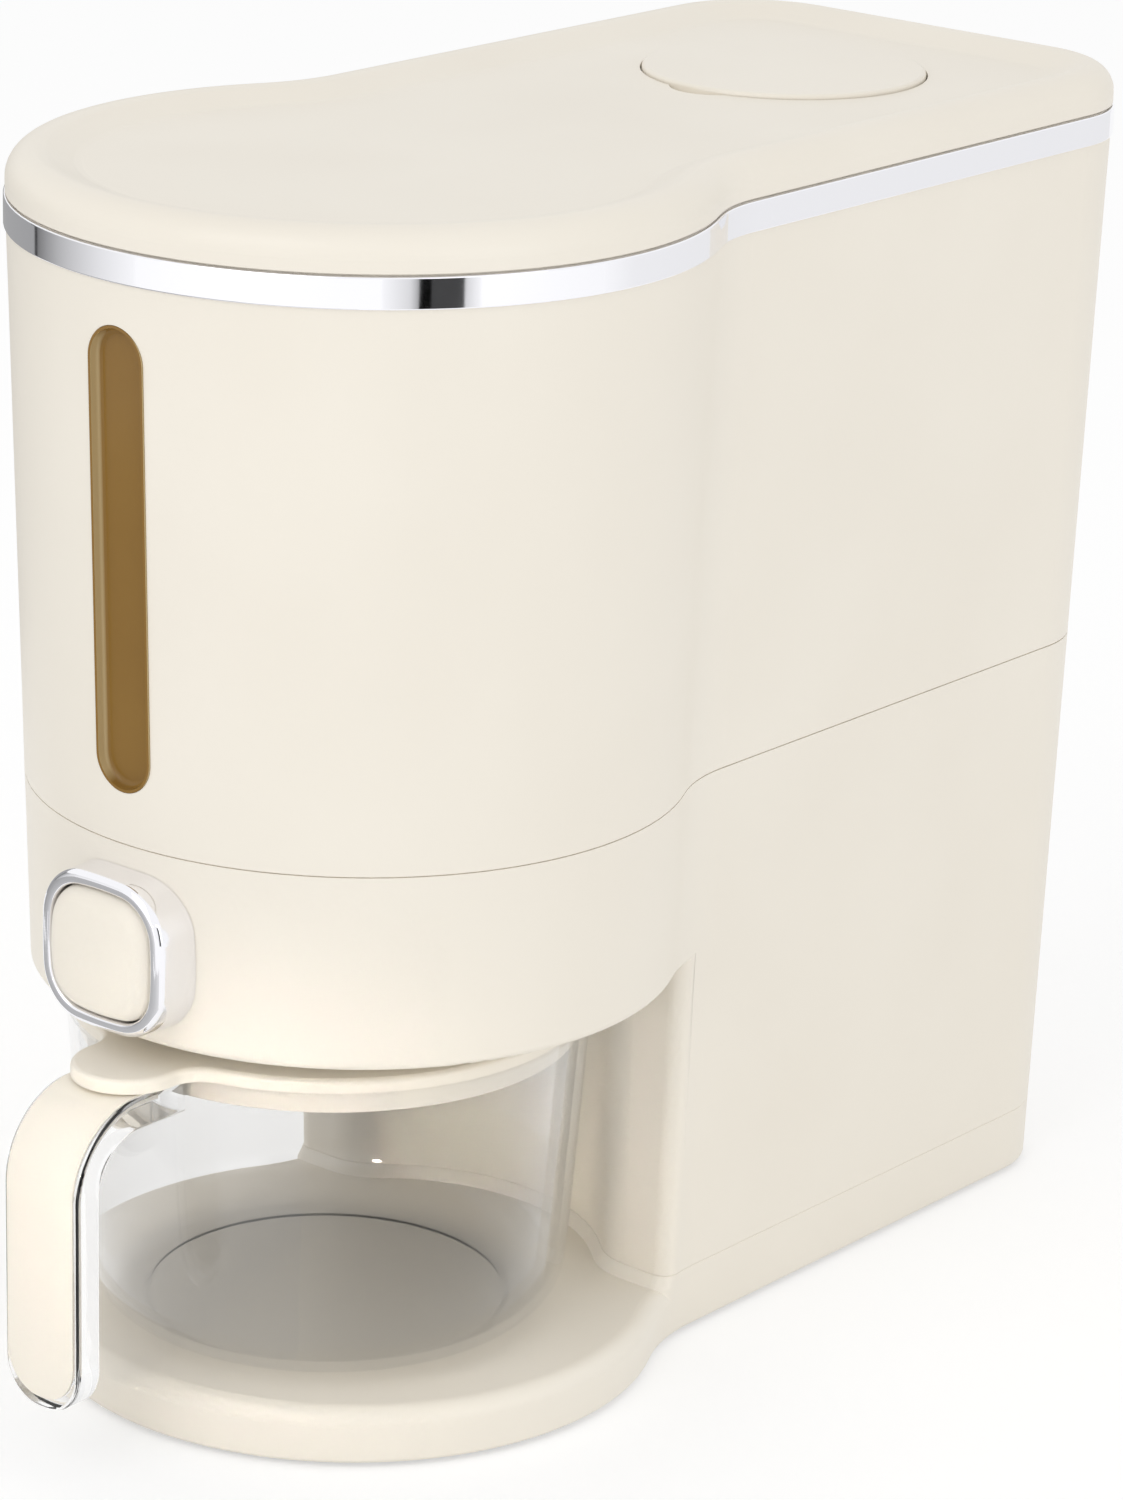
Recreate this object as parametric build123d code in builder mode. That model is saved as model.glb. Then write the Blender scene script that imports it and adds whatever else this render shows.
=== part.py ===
from build123d import *
from math import asin, cos, degrees, radians, sin, sqrt, tan
import os

os.makedirs("parts", exist_ok=True)

# A countertop rice dispenser. The body is a drafted shell, round in front and a narrower box behind,
# with a bay under its round head where a measuring cup stands. A button on the head swings a gate
# under the hopper's outlet, and rice falls into the cup.
# Heights are above the underside of the base. Plan positions are from the axis of the round front,
# which faces -Y. A distance called forward is measured from that axis towards the front.

# Clearances
overrun = 2.0  # how far a cut runs past its face
seat_gap = 0.1  # between pieces that are fixed together
slip_gap = 0.3  # between pieces that move apart
running_gap = 0.05  # a shaft in its bore

# Body envelope, at the underside of the base
lobe_radius = 90.8
waist_step = 17.7  # the rear box is narrower than the round front by this on each side
rear_reach = 261.4
rear_corner_radius = 28.0
waist_radius = 56.0  # concave blend between the round front and the rear box
draft_angle = 1.46  # degrees, every outer wall leans out
shell_wall = 2.6

# Levels of the body, each above the one before
platform_height = 16.5
seat_rise = 3.7  # the column's seat above the platform
cup_headroom = 6.7  # from the cup's lid to the head
seam_rise = 19.4  # from the top of the chute to the seam between the housings
hopper_height = 167.6  # from the seam to the rim
seam_gap = 0.35  # shadow line along a seam
seam_depth = 0.7

# Base, its feet and its screws
base_wall = 3.0
platform_edge_radius = 5.0
base_edge_radius = 1.5
foot_height = 1.5
foot_radius = 10.0
foot_recess = 1.2
foot_post_wall = 2.0
foot_side_inset = 25.1
front_foot_inset = 44.8
rear_foot_inset = 33.4
base_boss_radius = 4.6
base_boss_height = 22.0
base_boss_inset = 3.4  # boss axis from the inside of the wall
base_screw_rows = 3
base_screw_front_inset = 31.5  # from the column's front
base_screw_rear_inset = 31.4

# Screws
screw_radius = 1.5
screw_head_radius = 2.9
screw_head_height = 1.9

# Cup bay and column
column_set_back = 13.38  # in front of the end of the waist's blend
recess_step = 11.0  # the recess is tighter than the cup by this
cup_back_gap = 15.0  # between the cup and the recess
seat_slope = 2.5  # the seat's front leans out by this
column_edge_radius = 5.0
recess_edge_radius = 20.0
head_edge_radius = 2.5

# Joint between the two housings
tongue_depth = 6.0
tongue_wall = 1.8
tongue_lap = 1.5

# Bright trim band under the lid
band_height = 9.0
band_rebate = 1.1
band_proud = 0.5
band_edge_radius = 0.5

# Level window, a sunk obround tray of tinted plastic
window_foot = 15.3  # above the seam
window_head = 20.8  # below the rim
window_width = 20.0
window_lip = 0.8
window_recess = 2.9
window_wall = 1.6
window_draft_angle = 12.0  # degrees, the tray's walls
window_floor_radius = 1.8

# Hopper floor, outlet chute and gate
outlet_forward = 8.0
outlet_width = 42.0
outlet_depth = 26.0
chute_wall = 2.4
throat_rise = 8.0  # from the gate's pivot to the top of the chute
flange_thickness = 2.5
flange_margin = 12.0
leg_gap = 1.6  # between a leg and the yoke
leg_width = 5.0
leg_depth = 8.0
floor_wall = 2.6
floor_front_slope = 24.5  # degrees
floor_side_slope = 35.0  # degrees
floor_rear_slope = 20.0  # degrees
collar_height = 14.0
collar_margin = 9.0
funnel_screw_inset = 4.0  # screw axis from the collar's edge
funnel_screw_length = 8.0
leg_screw_length = 13.0
spout_margin = 3.0  # the head's floor opens this far around the outlet

gate_floor_gap = 1.9
gate_radius = 23.0  # inner face of the gate
gate_wall = 2.2
gate_gap = 0.4  # between the chute's mouth and the gate
gate_overlap_angle = 3.5  # degrees past each edge of the mouth
gate_swing = 50.0  # degrees
gate_hub_radius = 5.0
gate_side_gap = 0.8
pivot_radius = 2.5
pivot_head_radius = 3.8
pivot_head_thickness = 1.4
pivot_end_play = 0.5
crank_radius = 12.0
crank_pin_radius = 2.0
crank_pin_play = 0.2

# Button, its frame, the yoke behind it and the return spring
button_drop = 0.85  # below the middle of the head
button_width = 37.6
button_margin = 10.25  # of the head, above and below the button
button_corner_radius = 11.5
button_bow = 1.6  # its sides bow out by this
button_proud = 4.0  # beyond its frame
button_length = 18.0
button_wall = 2.2
button_dome_radius = 90.0
button_edge_radius = 6.0
bezel_rim = 3.9
bezel_proud = 10.83  # beyond the head
bezel_depth = 16.0
bezel_flare_angle = 3.0  # degrees, the frame widens towards the head
bezel_edge_radius = 2.5
bezel_lip_radius = 1.1
sleeve_wall = 1.6
sleeve_reach = 7.47  # into the head
yoke_gap = 2.5  # between the sleeve and the cross bar
yoke_bar_thickness = 4.0
yoke_bar_margin = 1.0  # above the spring's seat
yoke_wall = 2.0
prong_thickness = 4.0
prong_tall = 12.0
prong_gap = 1.0  # between a prong and the gate's arm
prong_end = 3.0  # wall beyond the crank slot
spring_room = 36.0
spring_boss_radius = 7.0
spigot_radius = 4.0
spigot_length = 6.0
spring_mean_radius = 5.7
spring_wire_radius = 0.55
spring_turns = 7

# Lid, its liner and its seal
lid_height = 12.0
lid_edge_radius = 8.0
lid_relief_width = 1.3
lid_relief_height = 0.6
lid_wall = 3.0
panel_drop = 4.0
panel_rim_inset = 10.0
panel_inset = 20.0
panel_rim_radius = 8.0
panel_foot_radius = 6.0
liner_thickness = 2.5
liner_skirt_depth = 8.0
liner_skirt_wall = 2.4
seal_height = 4.0
seal_groove_depth = 1.2
seal_lift = 2.0  # groove above the lower edge of the skirt
seal_reach = 0.2  # the seal stands out of its groove
liner_screw_inset = 11.0
liner_screw_length = 6.0
liner_front_screws = 3
liner_front_angle = 60.0  # degrees between front screws
liner_waist_inset = 29.2  # first rear screw, behind the round front
liner_rear_inset = 36.4

# Desiccant basket and its cap
cap_inset = 73.4  # from the rear
cap_side_margin = 30.1
cap_gap = 0.6
cap_proud = 1.5
cap_edge_radius = 1.2
cap_plug_wall = 2.0
cap_plug_depth = 7.0
cap_seal_radius = 1.0
basket_flange = 3.0
basket_flange_thickness = 1.6
basket_wall = 1.6
basket_depth = 25.0
basket_vent_radius = 2.0
basket_vent_rings = 3
basket_vent_margin = 8.4  # from the last ring of vents to the wall
scoop_radius = 13.0
scoop_reach = 4.5
scoop_depth = 2.4

# Measuring cup, its handle and its lid
cup_forward = 11.0
bowl_height = 92.8
cup_margin = 14.8  # inside the round front
cup_taper = 6.5
cup_wall = 2.6
cup_floor = 3.0
cup_bottom_radius = 16.0
cup_lip_radius = 0.8
cup_foot_ring = 17.5  # width of the ring that the cup stands on
cup_foot_recess = 0.8
gate_mark_radius = 3.5
gate_mark_rise = 0.5
gate_mark_taper = 60.0  # degrees
handle_stand = 41.3  # from the rim to the outer face
handle_width = 28.6
handle_thickness = 9.2
handle_edge_radius = 1.2
handle_drop = 0.9  # below the rim
handle_lift = 2.5  # above the platform
handle_bend_radius = 25.3
handle_end_radius = 13.0
cover_width = 25.4
cover_sunk = 2.2
cover_proud = 0.4
cover_set_out = 9.0  # from the rim
cover_end_gap = 3.5
cover_end_radius = 12.0
cup_lid_inset = 0.8  # inside the rim
cup_lid_thickness = 4.0
cup_lid_edge_radius = 1.6
cup_lid_flat = 10.0
cup_lid_width = 31.0
cup_lid_dish = 5.0
cup_lid_web = 2.2
cup_lid_skirt_depth = 6.6
cup_lid_skirt_wall = 1.8
tab_half_width = 16.0
tab_reach = 23.0
tab_blend_radius = 10.0

# Values that follow from the ones above
draft = tan(radians(draft_angle))
rear_half_width = lobe_radius - waist_step
base_height = platform_height + seat_rise
cup_bottom = platform_height + slip_gap
cup_rim_height = cup_bottom + bowl_height
cup_rim_radius = lobe_radius - cup_margin
cup_foot_radius = cup_rim_radius - cup_taper
cup_slope = cup_taper / bowl_height
cup_front = cup_forward + cup_rim_radius
waist_end = sqrt((lobe_radius + waist_radius) ** 2 - (rear_half_width + waist_radius) ** 2)
column_front = waist_end - column_set_back
recess_radius = cup_rim_radius - recess_step
recess_y = cup_rim_radius - cup_forward + cup_back_gap - recess_radius
head_floor_height = cup_rim_height + cup_lid_thickness + cup_headroom
head_floor_top = head_floor_height + shell_wall
gate_outer_radius = gate_radius + gate_wall
gate_pivot_height = head_floor_top + gate_floor_gap + gate_outer_radius
chute_top = gate_pivot_height + throat_rise
seam_height = chute_top + seam_rise
rim_height = seam_height + hopper_height
head_height = seam_height - head_floor_height
handle_reach = cup_front + handle_stand
front_extent = handle_reach + cover_proud
rear_extent = rear_reach + rim_height * draft + band_proud
lobe_y = (front_extent - rear_extent) / 2
ground = Plane((0, lobe_y, foot_height))
side = Plane((0, lobe_y, foot_height), x_dir=(0, -1, 0), z_dir=(-1, 0, 0))


def level(height):
    """A horizontal plane at a height above the underside of the base."""
    return ground.offset(height)


def grown(height):
    """How far the leaning wall has moved out at a height."""
    return height * draft


def body_outline(grow):
    """Plan of the body, moved out by grow from its size at the underside."""
    with BuildSketch(mode=Mode.PRIVATE) as plan:
        Circle(lobe_radius + grow)
        with Locations((0, (rear_reach + grow) / 2)):
            Rectangle(2 * (rear_half_width + grow), rear_reach + grow)
        fillet(plan.vertices().group_by(Axis.Y)[-1], rear_corner_radius + grow)
        fillet(plan.vertices().filter_by(lambda v: 0 < v.Y < lobe_radius), waist_radius - grow)
    return plan.sketch


def body_ring(height, outer_inset, inner_inset):
    """Plan of a ring that follows the body's wall at a height."""
    with BuildSketch(mode=Mode.PRIVATE) as plan:
        add(body_outline(grown(height) - outer_inset))
        add(body_outline(grown(height) - inner_inset), mode=Mode.SUBTRACT)
    return plan.sketch


def bay_plan(margin):
    """Plan of the space in front of the column, with the round recess behind the cup."""
    reach = 2 * lobe_radius
    with BuildSketch(mode=Mode.PRIVATE) as plan:
        with Locations((0, column_front + margin)):
            Rectangle(2 * reach, reach, align=(Align.CENTER, Align.MAX))
        with Locations((0, recess_y)):
            Circle(recess_radius + margin)
        rims = plan.vertices().filter_by(lambda v: 0 < v.Y and abs(v.X) < recess_radius)
        fillet(rims, recess_edge_radius - margin)
    return plan.sketch


def column_foot(height, margin):
    """Plan of the column at a height, its front moved back by a margin."""
    with BuildSketch(mode=Mode.PRIVATE) as plan:
        add(body_outline(grown(height)))
        add(bay_plan(margin), mode=Mode.SUBTRACT)
        front = plan.vertices().group_by(Axis.Y)[0]
        fillet(front.filter_by(lambda v: abs(v.X) > rear_half_width), column_edge_radius)
    return plan.sketch


def line_of_places(first, last, count):
    """Evenly spaced places from first to last."""
    return [first + (last - first) * index / (count - 1) for index in range(count)]


# Places of the feet and of the screws in the base
base_screw_x = rear_half_width + grown(base_height) - shell_wall - base_boss_inset
base_screw_first_y = column_front + base_screw_front_inset
base_screw_last_y = rear_reach - base_screw_rear_inset
base_screw_places = [
    (turn * base_screw_x, y)
    for turn in (-1, 1)
    for y in line_of_places(base_screw_first_y, base_screw_last_y, base_screw_rows)
]
foot_places = [
    (turn * (rear_half_width - foot_side_inset), y)
    for turn in (-1, 1)
    for y in (front_foot_inset - lobe_radius, rear_reach - rear_foot_inset)
]

# Places of the button, its frame and its yoke, and of the gate and its chute
button_height = head_floor_height + head_height / 2 - button_drop
button_plane = Plane((0, lobe_y, foot_height + button_height), x_dir=(1, 0, 0), z_dir=(0, -1, 0))
button_tall = head_height - 2 * button_margin
head_front = lobe_radius + grown(button_height)
bezel_front = head_front + bezel_proud
sleeve_end = head_front - shell_wall - sleeve_reach
yoke_bar_front = sleeve_end - yoke_gap
yoke_bar_back = yoke_bar_front - yoke_bar_thickness
spring_seat_forward = yoke_bar_back - spring_room
crank_half_angle = radians(gate_swing / 2)
crank_pin_forward = outlet_forward + crank_radius * sin(crank_half_angle)
crank_pin_height = gate_pivot_height - crank_radius * cos(crank_half_angle)
chute_half_width = outlet_width / 2 + chute_wall
arm_inner = chute_half_width + gate_side_gap
arm_outer = arm_inner + gate_wall
prong_inner = arm_outer + prong_gap
prong_outer = prong_inner + prong_thickness
flange_width = 2 * (prong_outer + leg_gap + leg_width)
flange_depth = outlet_depth + 2 * flange_margin
leg_x = (flange_width - leg_width) / 2
leg_y = (flange_depth - leg_depth) / 2
leg_places = [
    (turn * leg_x, end * leg_y - outlet_forward) for turn in (-1, 1) for end in (-1, 1)
]


def button_outline(grow):
    """Outline of the button, a square with rounded corners and bowed sides, moved out by grow."""
    half_width = button_width / 2 + grow
    half_tall = button_tall / 2 + grow
    corner_x = half_width - button_bow
    corner_y = half_tall - button_bow
    with BuildSketch(mode=Mode.PRIVATE) as outline:
        with BuildLine():
            ThreePointArc((-corner_x, -corner_y), (0, -half_tall), (corner_x, -corner_y))
            ThreePointArc((corner_x, -corner_y), (half_width, 0), (corner_x, corner_y))
            ThreePointArc((corner_x, corner_y), (0, half_tall), (-corner_x, corner_y))
            ThreePointArc((-corner_x, corner_y), (-half_width, 0), (-corner_x, -corner_y))
        make_face()
        fillet(outline.vertices(), button_corner_radius + grow)
    return outline.sketch


# Base: a round platform for the cup and a raised seat for the column, hollow from below
with BuildPart() as base_tray:
    with BuildSketch(level(0)):
        add(body_outline(0))
    extrude(amount=platform_height, taper=-draft_angle)
    fillet(base_tray.edges().group_by(Axis.Z)[-1], platform_edge_radius)
    with BuildSketch(level(0)):
        add(column_foot(0, -seat_slope))
    with BuildSketch(level(platform_height)):
        add(column_foot(platform_height, -seat_slope))
    with BuildSketch(level(base_height)):
        add(column_foot(base_height, 0))
    loft(ruled=True)
    chamfer(base_tray.edges().group_by(Axis.Z)[-1], seam_gap)
    fillet(base_tray.edges().group_by(Axis.Z)[0], base_edge_radius)
    with BuildSketch(level(-overrun)):
        add(body_outline(-base_wall))
    extrude(amount=platform_height - base_wall + overrun, mode=Mode.SUBTRACT)
    with BuildSketch(level(0)):
        with Locations(*foot_places):
            Circle(foot_radius + foot_post_wall)
        with Locations(*base_screw_places):
            Circle(base_boss_radius)
    extrude(amount=platform_height - base_wall / 2)
    with BuildSketch(level(-overrun)):
        with Locations(*foot_places):
            Circle(foot_radius + seat_gap)
    extrude(amount=foot_recess + overrun, mode=Mode.SUBTRACT)
    with BuildSketch(level(-overrun)):
        with Locations(*base_screw_places):
            Circle(screw_head_radius + seat_gap)
    extrude(amount=base_height - base_wall + overrun, mode=Mode.SUBTRACT)
    with BuildSketch(level(-overrun)):
        with Locations(*base_screw_places):
            Circle(screw_radius + seat_gap)
    extrude(amount=base_height + 2 * overrun, mode=Mode.SUBTRACT)
base_tray.part.label = "base_tray"
export_step(base_tray.part, "parts/base_tray.step")

# Rubber feet in the recesses of the base
with BuildPart() as rubber_feet:
    with BuildSketch(level(-foot_height)):
        with Locations(*foot_places):
            Circle(foot_radius)
    extrude(amount=foot_height + foot_recess)
rubber_feet.part.label = "rubber_feet"
export_step(rubber_feet.part, "parts/rubber_feet.step")

# Screws that hold the column to the base
base_screw_seat = base_height - base_wall
with BuildPart() as base_screws:
    with BuildSketch(level(base_screw_seat - screw_head_height)):
        with Locations(*base_screw_places):
            Circle(screw_head_radius)
    extrude(amount=screw_head_height)
    with BuildSketch(level(base_screw_seat)):
        with Locations(*base_screw_places):
            Circle(screw_radius)
    extrude(amount=base_boss_height - base_wall)
base_screws.part.label = "base_screws"
export_step(base_screws.part, "parts/base_screws.step")

# Lower housing: the column behind the cup and the round head above it, one shell
with BuildPart() as lower_cavity:
    with BuildSketch(level(base_height - overrun)):
        add(body_outline(grown(base_height - overrun) - shell_wall))
    extrude(amount=seam_height - base_height + 2 * overrun, taper=-draft_angle)
    with BuildSketch(level(base_height - 2 * overrun)):
        add(bay_plan(shell_wall))
    extrude(amount=head_floor_top - base_height + 2 * overrun, mode=Mode.SUBTRACT)

with BuildPart() as column_block:
    with BuildSketch(level(base_height)):
        add(body_outline(grown(base_height)))
    extrude(amount=seam_height - base_height, taper=-draft_angle)
    with BuildSketch(level(base_height - overrun)):
        add(bay_plan(0))
    extrude(amount=seam_height - base_height + 2 * overrun, mode=Mode.SUBTRACT)
    column_middle = foot_height + (base_height + seam_height) / 2
    uprights = column_block.edges().filter_by(lambda e: abs(e.center().Z - column_middle) < overrun)
    corners = uprights.group_by(Axis.Y)[0].filter_by(lambda e: abs(e.center().X) > rear_half_width)
    fillet(corners, column_edge_radius)

with BuildPart() as lower_housing:
    with BuildSketch(level(head_floor_height)):
        add(body_outline(grown(head_floor_height)))
    extrude(amount=seam_height - head_floor_height, taper=-draft_angle)
    fillet(lower_housing.edges().group_by(Axis.Z)[0], head_edge_radius)
    add(column_block.part)
    add(lower_cavity.part, mode=Mode.SUBTRACT)
    with BuildSketch(level(base_height)):
        with Locations(*base_screw_places):
            Circle(base_boss_radius)
            Circle(screw_radius + seat_gap, mode=Mode.SUBTRACT)
    extrude(amount=base_boss_height)
    with BuildSketch(level(head_floor_height - overrun)):
        with Locations((0, -outlet_forward)):
            Rectangle(outlet_width + 2 * spout_margin, outlet_depth + 2 * spout_margin)
    extrude(amount=shell_wall + 2 * overrun, mode=Mode.SUBTRACT)
    with BuildSketch(level(head_floor_height - overrun)):
        with Locations(*leg_places):
            Circle(screw_radius + seat_gap)
    extrude(amount=shell_wall + 2 * overrun, mode=Mode.SUBTRACT)
    with BuildSketch(button_plane.offset(sleeve_end)):
        add(button_outline(slip_gap + sleeve_wall + seat_gap))
    extrude(amount=bezel_front - sleeve_end, mode=Mode.SUBTRACT)
lower_housing.part.label = "lower_housing"
export_step(lower_housing.part, "parts/lower_housing.step")

# Upper housing: the hopper's wall, with a tongue into the lower housing
window_bottom = seam_height + window_foot
window_top = rim_height - window_head
window_middle = (window_bottom + window_top) / 2
window_plane = Plane(
    (0, lobe_y - lobe_radius - grown(window_middle), foot_height + window_middle),
    x_dir=(1, 0, 0),
    z_dir=(0, -cos(radians(draft_angle)), -sin(radians(draft_angle))),
)
window_length = (window_top - window_bottom) / cos(radians(draft_angle))
tongue_outer = shell_wall + seat_gap
tongue_inner = tongue_outer + tongue_wall
band_bottom = rim_height - band_height
with BuildPart() as upper_housing:
    with BuildSketch(level(seam_height)):
        add(body_outline(grown(seam_height)))
    extrude(amount=rim_height - seam_height, taper=-draft_angle)
    with BuildSketch(level(seam_height - overrun)):
        add(body_outline(grown(seam_height - overrun) - shell_wall))
    extrude(amount=rim_height - seam_height + 2 * overrun, taper=-draft_angle, mode=Mode.SUBTRACT)
    with BuildSketch(level(seam_height - tongue_depth)):
        add(body_ring(seam_height - tongue_depth, tongue_outer, tongue_inner))
    extrude(amount=tongue_depth + tongue_lap, taper=-draft_angle)
    with BuildSketch(level(seam_height)):
        add(body_ring(seam_height, shell_wall / 2, tongue_inner))
    extrude(amount=tongue_lap)
    with BuildSketch(level(seam_height)):
        add(body_ring(seam_height, -overrun, seam_depth))
    extrude(amount=seam_gap, mode=Mode.SUBTRACT)
    with BuildSketch(level(band_bottom)):
        add(body_ring(band_bottom, -overrun, band_rebate))
    extrude(amount=band_height + overrun, mode=Mode.SUBTRACT)
    with BuildSketch(window_plane.offset(-window_recess - window_wall - overrun)):
        SlotOverall(window_length + 2 * seat_gap, window_width + 2 * seat_gap, rotation=90)
    extrude(amount=window_recess + window_wall + 2 * overrun, mode=Mode.SUBTRACT)
upper_housing.part.label = "upper_housing"
export_step(upper_housing.part, "parts/upper_housing.step")

# Bright trim band in the rebate under the lid
with BuildPart() as trim_band:
    with BuildSketch(level(band_bottom)):
        add(body_ring(rim_height, -band_proud, band_rebate - seat_gap))
    extrude(amount=band_height - seat_gap)
    fillet(trim_band.faces().sort_by(Axis.Z)[-1].outer_wire().edges(), band_edge_radius)
    fillet(trim_band.faces().sort_by(Axis.Z)[0].outer_wire().edges(), band_edge_radius)
trim_band.part.label = "trim_band"
export_step(trim_band.part, "parts/trim_band.step")

# Level window: a tinted tray, flush at its lip, sunk between drafted walls
with BuildPart() as window_lens:
    with BuildSketch(window_plane.offset(-window_recess - window_wall)):
        SlotOverall(window_length, window_width, rotation=90)
    extrude(amount=window_recess + window_wall)
    with BuildSketch(window_plane):
        SlotOverall(window_length - 2 * window_lip, window_width - 2 * window_lip, rotation=90)
    extrude(amount=-window_recess, taper=window_draft_angle, mode=Mode.SUBTRACT)
    tray_floor = window_lens.faces().filter_by(window_plane).sort_by(Axis.Y)[-2]
    fillet(tray_floor.edges(), window_floor_radius)
window_lens.part.label = "window_lens"
export_step(window_lens.part, "parts/window_lens.step")

# Hopper floor: four slopes that lead the rice to the outlet, with a collar that seats on the chute
floor_rise = (rear_reach + grown(rim_height) + outlet_forward) * tan(radians(floor_rear_slope))
floor_reach_front = floor_rise / tan(radians(floor_front_slope))
floor_reach_side = floor_rise / tan(radians(floor_side_slope))
floor_reach_rear = floor_rise / tan(radians(floor_rear_slope))
mouth_width = outlet_width + 2 * floor_reach_side
mouth_depth = outlet_depth + floor_reach_front + floor_reach_rear
mouth_y = (floor_reach_rear - floor_reach_front) / 2 - outlet_forward


def rice_slopes(drop):
    """The space above the four slopes, moved down by drop."""
    with BuildPart(mode=Mode.PRIVATE) as space:
        with BuildSketch(level(chute_top - drop)):
            with Locations((0, -outlet_forward)):
                Rectangle(outlet_width, outlet_depth)
        with BuildSketch(level(chute_top + floor_rise - drop)):
            with Locations((0, mouth_y)):
                Rectangle(mouth_width, mouth_depth)
        loft(ruled=True)
    return space.part


collar_width = outlet_width + 2 * collar_margin
collar_depth = outlet_depth + 2 * collar_margin
with BuildPart() as hopper_floor:
    add(rice_slopes(floor_wall))
    add(rice_slopes(0), mode=Mode.SUBTRACT)
    with BuildSketch(level(chute_top)):
        add(body_outline(grown(chute_top) - shell_wall - slip_gap))
    extrude(amount=floor_rise + overrun, taper=-draft_angle, mode=Mode.INTERSECT)
    with BuildSketch(level(chute_top)):
        with Locations((0, -outlet_forward)):
            Rectangle(collar_width, collar_depth)
            Rectangle(outlet_width, outlet_depth, mode=Mode.SUBTRACT)
    extrude(amount=collar_height)
    add(rice_slopes(0), mode=Mode.SUBTRACT)
    with BuildSketch(level(chute_top - overrun)):
        with Locations((0, -outlet_forward)):
            with GridLocations(
                collar_width - 2 * funnel_screw_inset, collar_depth - 2 * funnel_screw_inset, 2, 2
            ):
                Circle(screw_radius + seat_gap)
    extrude(amount=funnel_screw_length + overrun - flange_thickness, mode=Mode.SUBTRACT)
hopper_floor.part.label = "hopper_floor"
export_step(hopper_floor.part, "parts/hopper_floor.step")

# Outlet chute: a square throat on four legs, its mouth cut round the gate's pivot
throat_radius = gate_radius - gate_gap
pivot_plane = Plane(
    (0, lobe_y - outlet_forward, foot_height + gate_pivot_height), x_dir=(0, -1, 0), z_dir=(-1, 0, 0)
)
with BuildPart() as outlet_chute:
    with BuildSketch(level(gate_pivot_height - throat_radius)):
        with Locations((0, -outlet_forward)):
            Rectangle(2 * chute_half_width, outlet_depth + 2 * chute_wall)
    extrude(amount=chute_top - gate_pivot_height + throat_radius)
    with BuildSketch(pivot_plane):
        Rectangle(4 * gate_radius, 2 * gate_radius, align=(Align.CENTER, Align.MAX))
        Circle(throat_radius, mode=Mode.SUBTRACT)
    extrude(amount=flange_width, both=True, mode=Mode.SUBTRACT)
    with BuildSketch(level(chute_top - flange_thickness)):
        with Locations((0, -outlet_forward)):
            Rectangle(flange_width, flange_depth)
    extrude(amount=flange_thickness)
    with BuildSketch(level(head_floor_top)):
        with Locations(*leg_places):
            Rectangle(leg_width, leg_depth)
    extrude(amount=chute_top - head_floor_top - flange_thickness / 2)
    with BuildSketch(button_plane.offset(outlet_forward + outlet_depth / 2)):
        Circle(spring_boss_radius)
    extrude(amount=spring_seat_forward - outlet_forward - outlet_depth / 2)
    with BuildSketch(button_plane.offset(spring_seat_forward)):
        Circle(spigot_radius)
    extrude(amount=spigot_length)
    with BuildSketch(level(head_floor_height)):
        with Locations((0, -outlet_forward)):
            Rectangle(outlet_width, outlet_depth)
    extrude(amount=chute_top, mode=Mode.SUBTRACT)
    with BuildSketch(pivot_plane):
        Circle(pivot_radius + seat_gap)
    extrude(amount=flange_width, both=True, mode=Mode.SUBTRACT)
    with BuildSketch(level(head_floor_top - overrun)):
        with Locations(*leg_places):
            Circle(screw_radius + seat_gap)
    extrude(amount=leg_screw_length + overrun, mode=Mode.SUBTRACT)
    with BuildSketch(level(chute_top - flange_thickness - overrun)):
        with Locations((0, -outlet_forward)):
            with GridLocations(
                collar_width - 2 * funnel_screw_inset, collar_depth - 2 * funnel_screw_inset, 2, 2
            ):
                Circle(screw_radius + seat_gap)
    extrude(amount=flange_thickness + 2 * overrun, mode=Mode.SUBTRACT)
outlet_chute.part.label = "outlet_chute"
export_step(outlet_chute.part, "parts/outlet_chute.step")

# Screws of the chute's legs, from under the head, and of the hopper floor, from under the flange
with BuildPart() as chute_screws:
    with BuildSketch(level(head_floor_height - screw_head_height)):
        with Locations(*leg_places):
            Circle(screw_head_radius)
    extrude(amount=screw_head_height)
    with BuildSketch(level(head_floor_height)):
        with Locations(*leg_places):
            Circle(screw_radius)
    extrude(amount=leg_screw_length)
chute_screws.part.label = "chute_screws"
export_step(chute_screws.part, "parts/chute_screws.step")

funnel_screw_seat = chute_top - flange_thickness
with BuildPart() as floor_screws:
    with BuildSketch(level(funnel_screw_seat - screw_head_height)):
        with Locations((0, -outlet_forward)):
            with GridLocations(
                collar_width - 2 * funnel_screw_inset, collar_depth - 2 * funnel_screw_inset, 2, 2
            ):
                Circle(screw_head_radius)
    extrude(amount=screw_head_height)
    with BuildSketch(level(funnel_screw_seat)):
        with Locations((0, -outlet_forward)):
            with GridLocations(
                collar_width - 2 * funnel_screw_inset, collar_depth - 2 * funnel_screw_inset, 2, 2
            ):
                Circle(screw_radius)
    extrude(amount=funnel_screw_length - seat_gap)
floor_screws.part.label = "floor_screws"
export_step(floor_screws.part, "parts/floor_screws.step")

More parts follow.
